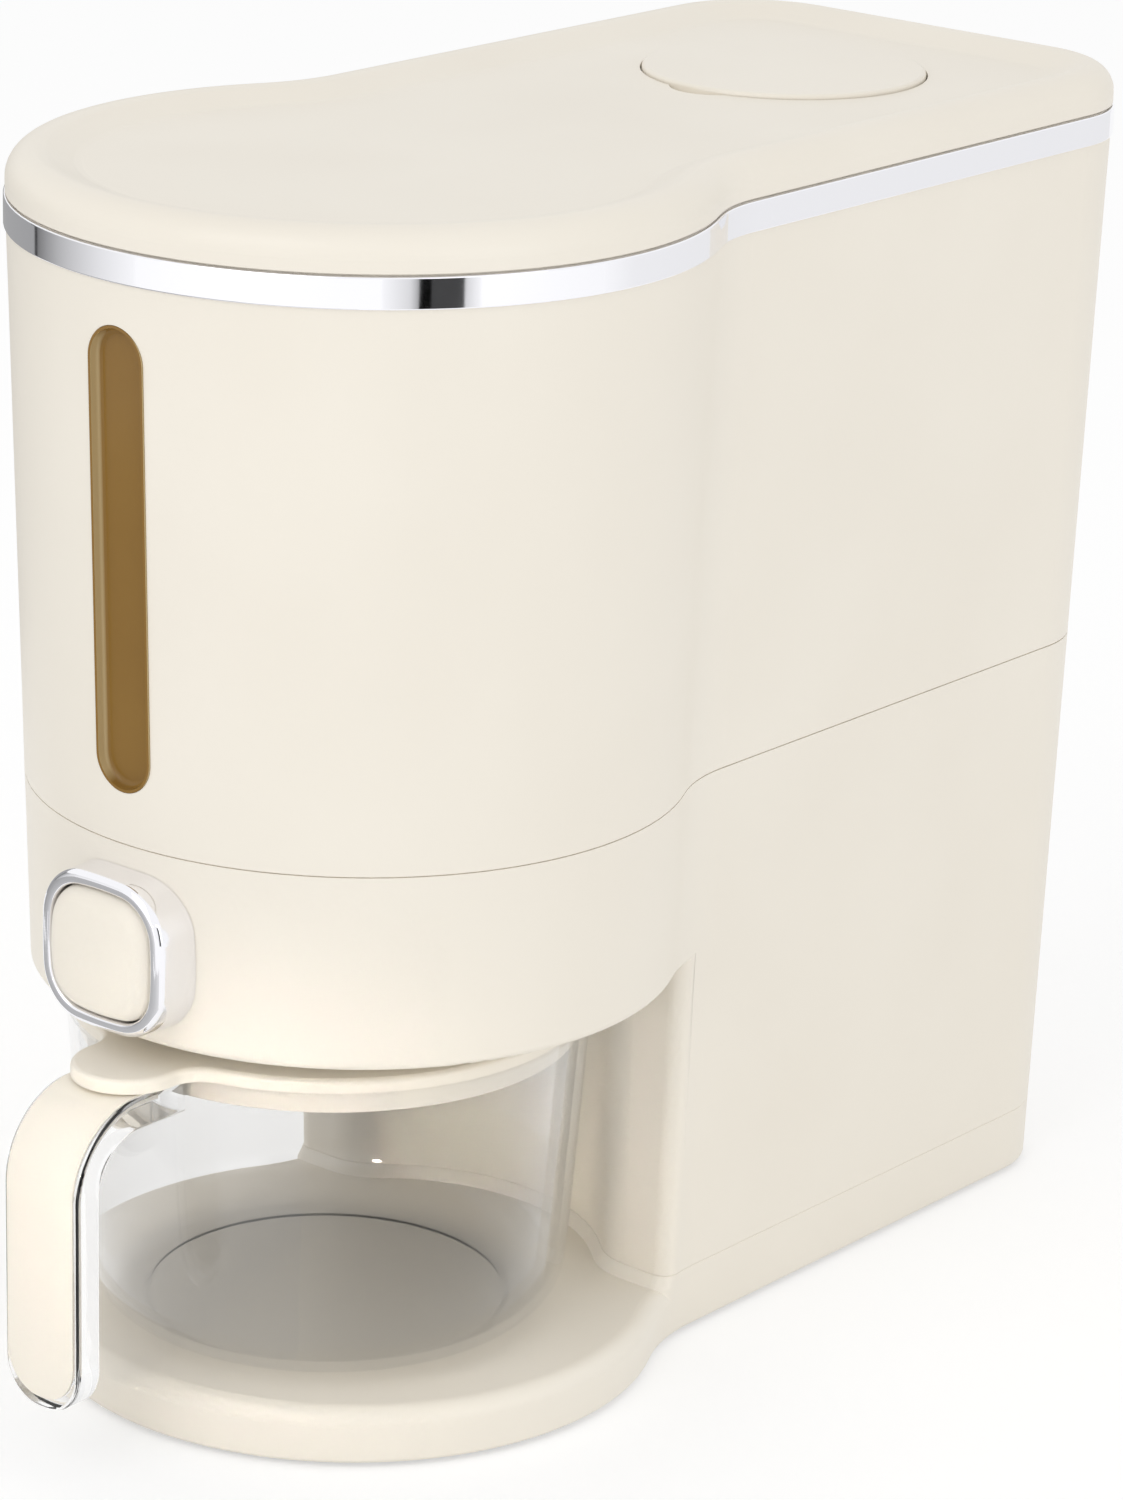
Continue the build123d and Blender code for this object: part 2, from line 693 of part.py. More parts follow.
# Gate pivot pins: headed pins through the chute's cheeks and the gate's arms
pivot_pin_end = arm_outer + pivot_end_play
with BuildPart() as gate_pivot_pins:
    for turn in (-1, 1):
        with BuildSketch(pivot_plane.offset(turn * (chute_half_width - chute_wall))):
            Circle(pivot_radius)
        extrude(amount=turn * (pivot_pin_end - chute_half_width + chute_wall))
        with BuildSketch(pivot_plane.offset(turn * pivot_pin_end)):
            Circle(pivot_head_radius)
        extrude(amount=turn * pivot_head_thickness)
gate_pivot_pins.part.label = "gate_pivot_pins"
export_step(gate_pivot_pins.part, "parts/gate_pivot_pins.step")

# Radial gate: a curved plate under the mouth, carried by two arms, each with a crank pin
gate_half_angle = degrees(asin(outlet_depth / 2 / gate_radius)) + gate_overlap_angle
straight_down = -90
crank_pin_end = prong_outer + prong_gap


def gate_sector(inner_radius):
    """The gate's side view, from an inner radius to its outer face."""
    start = straight_down - gate_half_angle
    with BuildSketch(mode=Mode.PRIVATE) as sector:
        with BuildLine():
            outer = CenterArc((0, 0), gate_outer_radius, start, 2 * gate_half_angle)
            if inner_radius:
                inner = CenterArc((0, 0), inner_radius, start, 2 * gate_half_angle)
                Line(outer @ 0, inner @ 0)
                Line(outer @ 1, inner @ 1)
            else:
                Line(outer @ 0, (0, 0))
                Line(outer @ 1, (0, 0))
        make_face()
    return sector.sketch


with BuildPart() as radial_gate:
    with BuildSketch(pivot_plane):
        add(gate_sector(gate_radius))
    extrude(amount=arm_outer, both=True)
    for turn in (-1, 1):
        with BuildSketch(pivot_plane.offset(turn * arm_inner)):
            add(gate_sector(0))
            Circle(gate_hub_radius)
            Circle(pivot_radius + running_gap, mode=Mode.SUBTRACT)
        extrude(amount=turn * gate_wall)
        with BuildSketch(pivot_plane.offset(turn * arm_inner)):
            with Locations((crank_pin_forward - outlet_forward, crank_pin_height - gate_pivot_height)):
                Circle(crank_pin_radius)
        extrude(amount=turn * (crank_pin_end - arm_inner))
radial_gate.part.label = "radial_gate"
export_step(radial_gate.part, "parts/radial_gate.step")

# Button frame: a deep bright frame that seats on the round head, with a sleeve through its wall
with BuildPart() as button_bezel:
    with BuildSketch(button_plane.offset(bezel_front)):
        add(button_outline(slip_gap + bezel_rim))
    extrude(amount=-bezel_depth, taper=-bezel_flare_angle)
    fillet(button_bezel.faces().sort_by(Axis.Y)[0].edges(), bezel_edge_radius)
    with BuildSketch(level(head_floor_height)):
        Circle(lobe_radius + grown(head_floor_height) + seat_gap)
    extrude(amount=seam_height - head_floor_height, taper=-draft_angle, mode=Mode.SUBTRACT)
    with BuildSketch(button_plane.offset(sleeve_end)):
        add(button_outline(slip_gap + sleeve_wall))
    extrude(amount=bezel_front - bezel_edge_radius - sleeve_end)
    with BuildSketch(button_plane.offset(sleeve_end - overrun)):
        add(button_outline(slip_gap))
    extrude(amount=bezel_front - sleeve_end + 2 * overrun, mode=Mode.SUBTRACT)
    fillet(button_bezel.faces().sort_by(Axis.Y)[0].inner_wires()[0].edges(), bezel_lip_radius)
button_bezel.part.label = "button_bezel"
export_step(button_bezel.part, "parts/button_bezel.step")

# Push button: a domed cap, hollow from behind
button_front = bezel_front + button_proud
button_back = button_front - button_length
button_hollow_depth = button_length - button_edge_radius
with BuildPart() as push_button:
    with BuildSketch(button_plane.offset(button_back)):
        add(button_outline(0))
    extrude(amount=button_length)
    with Locations((0, lobe_y - button_front + button_dome_radius, foot_height + button_height)):
        Sphere(button_dome_radius, mode=Mode.INTERSECT)
    fillet(push_button.faces().sort_by(Axis.Y)[0].edges(), button_edge_radius)
    with BuildSketch(button_plane.offset(button_back - overrun)):
        add(button_outline(-button_wall))
    extrude(amount=button_hollow_depth + overrun, mode=Mode.SUBTRACT)
push_button.part.label = "push_button"
export_step(push_button.part, "parts/push_button.step")

# Plunger yoke: a plug in the button, a cross bar and two prongs that straddle the chute
yoke_bar_bottom = crank_pin_height - prong_tall / 2
yoke_bar_top = button_height + spring_boss_radius + yoke_bar_margin
yoke_plug_end = button_back + button_hollow_depth - seat_gap
prong_tip = crank_pin_forward - crank_pin_radius - crank_pin_play - prong_end
crank_slot_width = 2 * (crank_pin_radius + crank_pin_play)
crank_slot_tall = crank_slot_width + 2 * crank_radius * (1 - cos(crank_half_angle))
with BuildPart() as plunger_yoke:
    with BuildSketch(button_plane.offset(yoke_bar_back)):
        with Locations((0, (yoke_bar_bottom + yoke_bar_top) / 2 - button_height)):
            Rectangle(2 * prong_outer, yoke_bar_top - yoke_bar_bottom)
    extrude(amount=yoke_bar_thickness)
    with BuildSketch(button_plane.offset(yoke_bar_front)):
        add(button_outline(-button_wall - seat_gap))
    extrude(amount=yoke_plug_end - yoke_bar_front)
    with BuildSketch(button_plane.offset(yoke_bar_front)):
        add(button_outline(-button_wall - seat_gap - yoke_wall))
    extrude(amount=yoke_plug_end - yoke_bar_front + overrun, mode=Mode.SUBTRACT)
    for turn in (-1, 1):
        with BuildSketch(button_plane.offset(prong_tip)):
            with Locations(
                (turn * (prong_inner + prong_outer) / 2, crank_pin_height - button_height)
            ):
                Rectangle(prong_thickness, prong_tall)
        extrude(amount=yoke_bar_front - prong_tip)
    with BuildSketch(side):
        with Locations((crank_pin_forward, crank_pin_height)):
            SlotOverall(crank_slot_tall, crank_slot_width, rotation=90)
    extrude(amount=prong_outer + overrun, both=True, mode=Mode.SUBTRACT)
    with BuildSketch(button_plane.offset(yoke_bar_back)):
        Circle(spigot_radius)
    extrude(amount=-spigot_length)
plunger_yoke.part.label = "plunger_yoke"
export_step(plunger_yoke.part, "parts/plunger_yoke.step")

# Return spring between the chute and the yoke
spring_length = yoke_bar_back - spring_seat_forward - 2 * (spring_wire_radius + seat_gap)
spring_pitch = spring_length / spring_turns
spring_start = spring_seat_forward + spring_wire_radius + seat_gap
with BuildPart() as return_spring:
    with BuildLine():
        coil = Helix(
            pitch=spring_pitch,
            height=spring_length,
            radius=spring_mean_radius,
            center=(0, lobe_y - spring_start, foot_height + button_height),
            direction=(0, -1, 0),
        )
    with BuildSketch(Plane(coil @ 0, z_dir=coil % 0)):
        Circle(spring_wire_radius)
    sweep(path=coil, is_frenet=True)
return_spring.part.label = "return_spring"
export_step(return_spring.part, "parts/return_spring.step")

# Lid: a rounded cover with a sunk panel, hollow from below, and a round hole for the desiccant cap
panel_height = rim_height + lid_height - panel_drop
lid_cavity_top = panel_height - lid_wall
liner_top = lid_cavity_top - seat_gap
liner_bottom = liner_top - liner_thickness
skirt_bottom = rim_height - liner_skirt_depth
cap_y = rear_reach - cap_inset
cap_radius = rear_half_width - cap_side_margin
cap_hole_radius = cap_radius + cap_gap
liner_screw_angles = [
    straight_down + liner_front_angle * (index - (liner_front_screws - 1) / 2)
    for index in range(liner_front_screws)
]
liner_screw_radius = lobe_radius + grown(rim_height) - liner_screw_inset
liner_rear_places = (lobe_radius + liner_waist_inset, rear_reach - liner_rear_inset)
liner_rear_x = rear_half_width + grown(rim_height) - liner_screw_inset
liner_screw_places = [
    (liner_screw_radius * cos(radians(angle)), liner_screw_radius * sin(radians(angle)))
    for angle in liner_screw_angles
] + [(turn * liner_rear_x, y) for turn in (-1, 1) for y in liner_rear_places]
with BuildPart() as lid_cover:
    with BuildSketch(level(rim_height)):
        add(body_outline(grown(rim_height)))
    extrude(amount=lid_height)
    fillet(lid_cover.edges().group_by(Axis.Z)[-1], lid_edge_radius)
    with BuildSketch(level(panel_height)):
        add(body_outline(grown(rim_height) - panel_inset))
    with BuildSketch(level(rim_height + lid_height)):
        add(body_outline(grown(rim_height) - panel_rim_inset))
    loft(ruled=True, mode=Mode.SUBTRACT)
    panel_floor = lid_cover.faces().filter_by(Axis.Z).sort_by(Axis.Z)[-2]
    fillet(panel_floor.outer_wire().edges(), panel_foot_radius)
    crest = lid_cover.faces().filter_by(Axis.Z).sort_by(Axis.Z)[-1]
    fillet(crest.inner_wires()[0].edges(), panel_rim_radius)
    with BuildSketch(level(rim_height - overrun)):
        add(body_outline(grown(rim_height) - lid_wall))
    extrude(amount=lid_cavity_top - rim_height + overrun, mode=Mode.SUBTRACT)
    with BuildSketch(level(rim_height - overrun)):
        add(body_ring(rim_height, -overrun, lid_relief_width))
    extrude(amount=lid_relief_height + overrun, mode=Mode.SUBTRACT)
    with BuildSketch(level(lid_cavity_top - overrun)):
        with Locations((0, cap_y)):
            Circle(cap_hole_radius)
    extrude(amount=lid_height, mode=Mode.SUBTRACT)
    with BuildSketch(level(panel_height - scoop_depth)):
        with Locations((0, cap_y - cap_radius - scoop_reach + scoop_radius)):
            Circle(scoop_radius)
    extrude(amount=scoop_depth + overrun, mode=Mode.SUBTRACT)
    with BuildSketch(level(lid_cavity_top - overrun)):
        with Locations(*liner_screw_places):
            Circle(screw_radius + seat_gap)
    extrude(amount=liner_screw_length - liner_thickness + overrun, mode=Mode.SUBTRACT)
lid_cover.part.label = "lid_cover"
export_step(lid_cover.part, "parts/lid_cover.step")

# Lid liner: a plate under the cover, with a skirt that plugs the hopper's mouth
skirt_outer = shell_wall + slip_gap + seal_reach
skirt_inner = skirt_outer + liner_skirt_wall
basket_radius = cap_radius - basket_flange
seal_bottom = skirt_bottom + seal_lift
with BuildPart() as lid_liner:
    with BuildSketch(level(liner_bottom)):
        add(body_outline(grown(rim_height) - lid_wall - seat_gap))
    extrude(amount=liner_thickness)
    with BuildSketch(level(skirt_bottom)):
        add(body_ring(skirt_bottom, skirt_outer, skirt_inner))
    extrude(amount=liner_bottom - skirt_bottom)
    with BuildSketch(level(seal_bottom)):
        add(body_ring(skirt_bottom, skirt_outer - overrun, skirt_outer + seal_groove_depth))
    extrude(amount=seal_height, mode=Mode.SUBTRACT)
    with BuildSketch(level(liner_bottom - overrun)):
        with Locations((0, cap_y)):
            Circle(basket_radius + seat_gap)
        with Locations(*liner_screw_places):
            Circle(screw_radius + seat_gap)
    extrude(amount=liner_thickness + 2 * overrun, mode=Mode.SUBTRACT)
lid_liner.part.label = "lid_liner"
export_step(lid_liner.part, "parts/lid_liner.step")

# Silicone seal in the liner's groove
with BuildPart() as lid_seal:
    with BuildSketch(level(seal_bottom + seat_gap)):
        add(
            body_ring(skirt_bottom, skirt_outer - seal_reach, skirt_outer + seal_groove_depth - seat_gap)
        )
    extrude(amount=seal_height - 2 * seat_gap)
lid_seal.part.label = "lid_seal"
export_step(lid_seal.part, "parts/lid_seal.step")

# Screws that hold the liner to the cover
with BuildPart() as liner_screws:
    with BuildSketch(level(liner_bottom - screw_head_height)):
        with Locations(*liner_screw_places):
            Circle(screw_head_radius)
    extrude(amount=screw_head_height)
    with BuildSketch(level(liner_bottom)):
        with Locations(*liner_screw_places):
            Circle(screw_radius)
    extrude(amount=liner_screw_length - seat_gap)
liner_screws.part.label = "liner_screws"
export_step(liner_screws.part, "parts/liner_screws.step")

# Desiccant basket: hangs by its flange on the liner, with vents in its floor
basket_inner_radius = basket_radius - basket_wall
basket_vent_pitch = (basket_inner_radius - basket_vent_margin) / basket_vent_rings
basket_bottom = liner_top - basket_depth
flange_top = liner_top + basket_flange_thickness
with BuildPart() as desiccant_basket:
    with BuildSketch(level(basket_bottom)):
        with Locations((0, cap_y)):
            Circle(basket_radius)
    extrude(amount=basket_depth + basket_flange_thickness)
    with BuildSketch(level(liner_top)):
        with Locations((0, cap_y)):
            Circle(cap_radius)
    extrude(amount=basket_flange_thickness)
    with BuildSketch(level(basket_bottom + basket_wall)):
        with Locations((0, cap_y)):
            Circle(basket_inner_radius)
    extrude(amount=basket_depth + overrun, mode=Mode.SUBTRACT)
    with BuildSketch(level(basket_bottom - overrun)):
        with Locations((0, cap_y)):
            for ring in range(1, basket_vent_rings + 1):
                with PolarLocations(ring * basket_vent_pitch, 6 * ring):
                    Circle(basket_vent_radius)
            Circle(basket_vent_radius)
    extrude(amount=basket_wall + 2 * overrun, mode=Mode.SUBTRACT)
desiccant_basket.part.label = "desiccant_basket"
export_step(desiccant_basket.part, "parts/desiccant_basket.step")

# Desiccant cap: a round lid with a plug ring, grooved for its seal
cap_top = panel_height + cap_proud
plug_radius = basket_inner_radius - slip_gap - seal_reach
cap_seal_height = flange_top - cap_plug_depth / 2
cap_axis = Axis((0, lobe_y + cap_y, 0), (0, 0, 1))
cap_profile = Plane((0, lobe_y + cap_y, foot_height), x_dir=(1, 0, 0), z_dir=(0, -1, 0))
with BuildPart() as desiccant_cap:
    with BuildSketch(level(flange_top)):
        with Locations((0, cap_y)):
            Circle(cap_radius)
    extrude(amount=cap_top - flange_top)
    fillet(desiccant_cap.edges().group_by(Axis.Z)[-1], cap_edge_radius)
    with BuildSketch(level(flange_top - cap_plug_depth)):
        with Locations((0, cap_y)):
            Circle(plug_radius)
            Circle(plug_radius - cap_plug_wall, mode=Mode.SUBTRACT)
    extrude(amount=cap_plug_depth)
    with BuildSketch(cap_profile):
        with Locations((plug_radius - cap_seal_radius + seal_reach, cap_seal_height)):
            Circle(cap_seal_radius + seat_gap)
    revolve(axis=cap_axis, mode=Mode.SUBTRACT)
desiccant_cap.part.label = "desiccant_cap"
export_step(desiccant_cap.part, "parts/desiccant_cap.step")

# Round seal in the cap's groove
with BuildPart() as cap_seal:
    with BuildSketch(cap_profile):
        with Locations((plug_radius - cap_seal_radius + seal_reach, cap_seal_height)):
            Circle(cap_seal_radius)
    revolve(axis=cap_axis)
cap_seal.part.label = "cap_seal"
export_step(cap_seal.part, "parts/cap_seal.step")

# Measuring cup: a clear tapered bowl with a hook handle, sunk on its outside for a cover strip
cup_axis = Axis((0, lobe_y - cup_forward, 0), (0, 0, 1))
cup_profile = Plane((0, lobe_y - cup_forward, foot_height), x_dir=(1, 0, 0), z_dir=(0, -1, 0))
cup_inner_foot = cup_foot_radius - cup_wall + cup_floor * cup_slope
cup_inner_rim = cup_rim_radius - cup_wall
handle_top = cup_rim_height - handle_drop
handle_bottom = platform_height + handle_lift
cover_start = cup_front + cover_set_out
cover_bottom = handle_bottom + cover_end_gap


def bowl_profile(foot_radius_here, rim_radius_here, bottom, corner, lip):
    """Half section of the bowl from its axis, with a rounded lower corner and lip."""
    with BuildSketch(mode=Mode.PRIVATE) as section:
        with BuildLine():
            Polyline(
                (0, bottom),
                (foot_radius_here, bottom),
                (rim_radius_here, cup_rim_height),
                (0, cup_rim_height),
                close=True,
            )
        make_face()
        fillet(section.vertices().group_by(Axis.Y)[0].sort_by(Axis.X)[-1], corner)
        if lip:
            fillet(section.vertices().group_by(Axis.Y)[-1].sort_by(Axis.X)[-1], lip)
    return section.sketch


def hook_profile(sunk, start, bottom, thickness):
    """Side view of a strip that follows the handle's outer face, sunk below it."""
    top = handle_top - sunk
    reach = handle_reach - sunk
    with BuildSketch(mode=Mode.PRIVATE) as hook:
        with BuildLine():
            Polyline(
                (start, top),
                (reach, top),
                (reach, bottom),
                (reach - thickness, bottom),
                (reach - thickness, top - thickness),
                (start, top - thickness),
                close=True,
            )
        make_face()
        corners = hook.vertices()
        fillet(corners.sort_by_distance((reach, top))[0], handle_bend_radius - sunk)
        fillet(
            hook.vertices().sort_by_distance((reach - thickness, top - thickness))[0],
            handle_bend_radius - sunk - thickness,
        )
    return hook.sketch


def cover_strip(margin):
    """The handle's cover strip, grown by a margin."""
    with BuildPart(mode=Mode.PRIVATE) as strip:
        with BuildSketch(side):
            add(
                hook_profile(
                    -cover_proud - margin,
                    cover_start - margin,
                    cover_bottom - margin,
                    cover_proud + cover_sunk + 2 * margin,
                )
            )
        extrude(amount=cover_width / 2 + margin, both=True)
        lower_end = strip.faces().sort_by(Axis.Z)[0]
        fillet(lower_end.edges().filter_by(Axis.Y), cover_end_radius)
    return strip.part


with BuildPart() as measuring_cup:
    with BuildSketch(side):
        add(hook_profile(0, cup_forward + cup_inner_rim, handle_bottom, handle_thickness))
    extrude(amount=handle_width / 2, both=True)
    fillet(measuring_cup.faces().sort_by(Axis.Z)[0].edges().filter_by(Axis.Y), handle_end_radius)
    fillet(measuring_cup.edges().filter_by(Axis.Z), handle_edge_radius)
    add(cover_strip(seat_gap), mode=Mode.SUBTRACT)
    with BuildSketch(cup_profile):
        add(bowl_profile(cup_foot_radius, cup_rim_radius, cup_bottom, cup_bottom_radius, cup_lip_radius))
    revolve(axis=cup_axis)
    with BuildSketch(cup_profile):
        add(
            bowl_profile(
                cup_inner_foot, cup_inner_rim, cup_bottom + cup_floor, cup_bottom_radius - cup_wall, 0
            )
        )
    revolve(axis=cup_axis, mode=Mode.SUBTRACT)
    with BuildSketch(level(cup_bottom)):
        with Locations((0, -cup_forward)):
            Circle(cup_foot_radius - cup_foot_ring)
    extrude(amount=cup_foot_recess, mode=Mode.SUBTRACT)
    with BuildSketch(level(cup_bottom + cup_floor)):
        with Locations((0, -cup_forward)):
            Circle(gate_mark_radius)
    extrude(amount=gate_mark_rise, taper=gate_mark_taper)
measuring_cup.part.label = "measuring_cup"
export_step(measuring_cup.part, "parts/measuring_cup.step")

# Cream cover strip on the handle
with BuildPart() as handle_cover:
    add(cover_strip(0))
handle_cover.part.label = "handle_cover"
export_step(handle_cover.part, "parts/handle_cover.step")

# Cup lid: a dished ring on the rim with a thumb tab over the handle and a skirt inside the rim
cup_lid_radius = cup_rim_radius - cup_lid_inset
cup_lid_top = cup_rim_height + cup_lid_thickness
dish_radius = cup_lid_radius - cup_lid_flat
cup_lid_opening = cup_rim_radius - cup_lid_width
tab_forward = cup_front + tab_reach
skirt_top_radius = cup_inner_rim - cup_lid_skirt_depth * cup_slope - seat_gap
with BuildPart() as cup_lid:
    with BuildSketch(level(cup_rim_height)) as lid_plan:
        with Locations((0, -cup_forward)):
            Circle(cup_lid_radius)
        with Locations((0, -tab_forward + tab_half_width)):
            Circle(tab_half_width)
            Rectangle(2 * tab_half_width, cup_lid_radius / 2, align=(Align.CENTER, Align.MIN))
        fillet(
            lid_plan.vertices().filter_by(lambda v: abs(v.X) > tab_half_width / 2), tab_blend_radius
        )
    extrude(amount=cup_lid_thickness)
    fillet(cup_lid.edges().group_by(Axis.Z)[-1], cup_lid_edge_radius)
    with BuildSketch(cup_profile):
        with BuildLine():
            Polyline(
                (0, cup_rim_height - cup_lid_skirt_depth),
                (skirt_top_radius, cup_rim_height - cup_lid_skirt_depth),
                (skirt_top_radius, cup_rim_height + overrun),
                (0, cup_rim_height + overrun),
                close=True,
            )
        make_face()
    revolve(axis=cup_axis)
    with BuildSketch(cup_profile):
        with BuildLine():
            Polyline(
                (0, cup_lid_top + overrun),
                (dish_radius, cup_lid_top + overrun),
                (dish_radius, cup_lid_top),
                (cup_lid_opening, cup_lid_top - cup_lid_dish),
                (0, cup_lid_top - cup_lid_dish),
                close=True,
            )
        make_face()
    revolve(axis=cup_axis, mode=Mode.SUBTRACT)
    with BuildSketch(cup_profile):
        with BuildLine():
            Polyline(
                (0, cup_rim_height - cup_lid_skirt_depth - overrun),
                (skirt_top_radius - cup_lid_skirt_wall, cup_rim_height - cup_lid_skirt_depth - overrun),
                (skirt_top_radius - cup_lid_skirt_wall, cup_lid_top - cup_lid_web),
                (dish_radius, cup_lid_top - cup_lid_web),
                (cup_lid_opening, cup_lid_top - cup_lid_dish - cup_lid_web),
                (cup_lid_opening, cup_lid_top),
                (0, cup_lid_top),
                close=True,
            )
        make_face()
    revolve(axis=cup_axis, mode=Mode.SUBTRACT)
cup_lid.part.label = "cup_lid"
export_step(cup_lid.part, "parts/cup_lid.step")
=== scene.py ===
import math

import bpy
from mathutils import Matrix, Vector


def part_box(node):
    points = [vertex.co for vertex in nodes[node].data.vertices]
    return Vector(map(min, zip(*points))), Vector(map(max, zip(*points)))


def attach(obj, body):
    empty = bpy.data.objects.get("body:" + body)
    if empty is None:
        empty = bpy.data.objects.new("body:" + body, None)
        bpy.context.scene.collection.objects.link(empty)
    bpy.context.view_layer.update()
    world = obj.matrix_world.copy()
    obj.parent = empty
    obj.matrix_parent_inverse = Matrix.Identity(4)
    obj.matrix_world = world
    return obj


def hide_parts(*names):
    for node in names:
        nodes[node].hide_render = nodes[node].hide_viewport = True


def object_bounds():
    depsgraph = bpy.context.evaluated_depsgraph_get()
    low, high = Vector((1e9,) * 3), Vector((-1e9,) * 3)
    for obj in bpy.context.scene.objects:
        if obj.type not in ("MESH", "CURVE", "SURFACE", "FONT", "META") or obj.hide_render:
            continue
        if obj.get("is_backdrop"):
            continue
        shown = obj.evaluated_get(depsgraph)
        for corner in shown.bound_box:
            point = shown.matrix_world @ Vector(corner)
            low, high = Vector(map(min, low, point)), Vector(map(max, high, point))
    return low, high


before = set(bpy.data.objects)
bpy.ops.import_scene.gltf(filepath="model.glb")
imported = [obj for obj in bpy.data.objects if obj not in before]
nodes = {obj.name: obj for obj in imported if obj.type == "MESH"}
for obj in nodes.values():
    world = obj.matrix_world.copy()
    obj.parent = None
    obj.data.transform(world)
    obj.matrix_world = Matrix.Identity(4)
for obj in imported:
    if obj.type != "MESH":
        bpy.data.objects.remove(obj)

# %% [markdown]
# # A rice dispenser, dressed for a studio picture
# The solids of the dispenser are already here as a fixed frame, one object for each piece, in metres.
# This lesson gives every piece the finish of the real one, puts finer screws and feet where the solids
# are plain, and sets up a camera and soft light. Nothing in the frame is moved: a finish goes on a
# piece where it stands, and a new piece hides the solid it stands for and rides on a body.

scene = bpy.context.scene
scene.view_settings.view_transform = "Standard"
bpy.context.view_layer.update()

# %% [markdown]
# ## Camera
# The picture was taken from the front right, a little above, with a long lens. A camera is easiest to
# think of as a ball on a stick: a point that it looks at, two angles, a distance and a small tilt. The
# lens then decides how much fits in the frame. The numbers here were matched to the picture's edges.

# %% Camera
TARGET = Vector((0.02727, -0.01262, 0.17544))
AZIMUTH, ELEVATION, TILT = (math.radians(angle) for angle in (39.61, 18.74, 1.55))
DISTANCE = 1.53898
LENS_MM = 126.39
SENSOR_MM = 36

back = Vector(
    (math.sin(AZIMUTH) * math.cos(ELEVATION), -math.cos(AZIMUTH) * math.cos(ELEVATION), math.sin(ELEVATION))
)
level_right = Vector((math.cos(AZIMUTH), math.sin(AZIMUTH), 0))
level_up = back.cross(level_right)
right = math.cos(TILT) * level_right + math.sin(TILT) * level_up
up = math.cos(TILT) * level_up - math.sin(TILT) * level_right
camera_data = bpy.data.cameras.new("studio_camera")
camera_data.lens = LENS_MM
camera_data.sensor_width = SENSOR_MM
camera = bpy.data.objects.new("studio_camera", camera_data)
turn = Matrix((right, up, back)).transposed().to_4x4()
camera.matrix_world = Matrix.Translation(TARGET + DISTANCE * back) @ turn
scene.collection.objects.link(camera)
scene.camera = camera
print("camera at", [round(x, 3) for x in camera.matrix_world.translation])

# %% [markdown]
# ## Small helpers
# Colours are written as they are read off a screen, and Blender wants them linear, so one function
# turns the first into the second. Another adds a node to a tree, sets its inputs and properties and
# joins its links, which keeps each finish below short enough to read at a glance. Most finishes need a
# grain that drives a colour, a roughness or a faint relief, so each of these has a function too. The
# last few answer simple questions: how far from an axis, which way a face looks, and who is looking.

# %% Helpers for colours and nodes


def linear(code):
    """An sRGB hex colour as linear red, green, blue and alpha."""
    parts = [int(code[i : i + 2], 16) / 255 for i in (1, 3, 5)]
    return [x / 12.92 if x <= 0.04045 else ((x + 0.055) / 1.055) ** 2.4 for x in parts] + [1]


def add_node(tree, kind, values=None, links=None, **settings):
    """Adds a node with its settings, its input values and the links into it."""
    node = tree.nodes.new(kind)
    for name, value in settings.items():
        setattr(node, name, value)
    for name, value in (values or {}).items():
        node.inputs[name].default_value = value
    for name, source in (links or {}).items():
        tree.links.new(source, node.inputs[name])
    return node


def new_material(name):
    """An empty material, its tree, the tree's output and the place on the piece."""
    material = bpy.data.materials.new(name)
    material.use_nodes = True
    tree = material.node_tree
    tree.nodes.clear()
    output = add_node(tree, "ShaderNodeOutputMaterial")
    place = add_node(tree, "ShaderNodeTexCoord").outputs["Object"]
    return material, tree, output, place


def noise(tree, place, size_mm, detail):
    """A cloudy pattern whose features are this many millimetres apart."""
    return add_node(
        tree, "ShaderNodeTexNoise", {"Scale": 1000 / size_mm, "Detail": detail}, {"Vector": place}
    ).outputs["Fac"]


def between(tree, pattern, low, high):
    """A value that goes from low to high as a pattern goes from 0 to 1."""
    return add_node(
        tree, "ShaderNodeMapRange", {"To Min": low, "To Max": high}, {"Value": pattern}
    ).outputs["Result"]


def tinted(tree, pattern, dark, pale):
    """A colour that goes from dark to pale with a pattern."""
    tint = add_node(tree, "ShaderNodeValToRGB", links={"Fac": pattern})
    tint.color_ramp.elements[0].color = linear(dark)
    tint.color_ramp.elements[1].color = linear(pale)
    return tint.outputs["Color"]


def relief(tree, pattern, strength, depth):
    """A normal that a pattern tilts as if it were this deep, in metres."""
    return add_node(
        tree, "ShaderNodeBump", {"Strength": strength, "Distance": depth}, {"Height": pattern}
    ).outputs["Normal"]


def reckon(tree, operation, first, second=None):
    """A step of arithmetic on one or two sockets, of which the second may be a plain number."""
    node = add_node(tree, "ShaderNodeMath", links={0: first}, operation=operation)
    if isinstance(second, (int, float)):
        node.inputs[1].default_value = second
    elif second is not None:
        tree.links.new(second, node.inputs[1])
    return node.outputs[0]


def from_axis(tree, position, axis=(0, 0, 0)):
    """How far a position is from an upright axis."""
    offset = add_node(tree, "ShaderNodeVectorMath", {1: axis}, {0: position}, operation="SUBTRACT")
    flat = add_node(
        tree, "ShaderNodeVectorMath", {1: (1, 1, 0)}, {0: offset.outputs[0]}, operation="MULTIPLY"
    )
    return add_node(
        tree, "ShaderNodeVectorMath", links={0: flat.outputs[0]}, operation="LENGTH"
    ).outputs["Value"]


def facing(tree, axis):
    """How much a face looks along one axis, from -1 to 1."""
    normal = add_node(tree, "ShaderNodeNewGeometry").outputs["Normal"]
    return add_node(tree, "ShaderNodeSeparateXYZ", links={"Vector": normal}).outputs[axis]


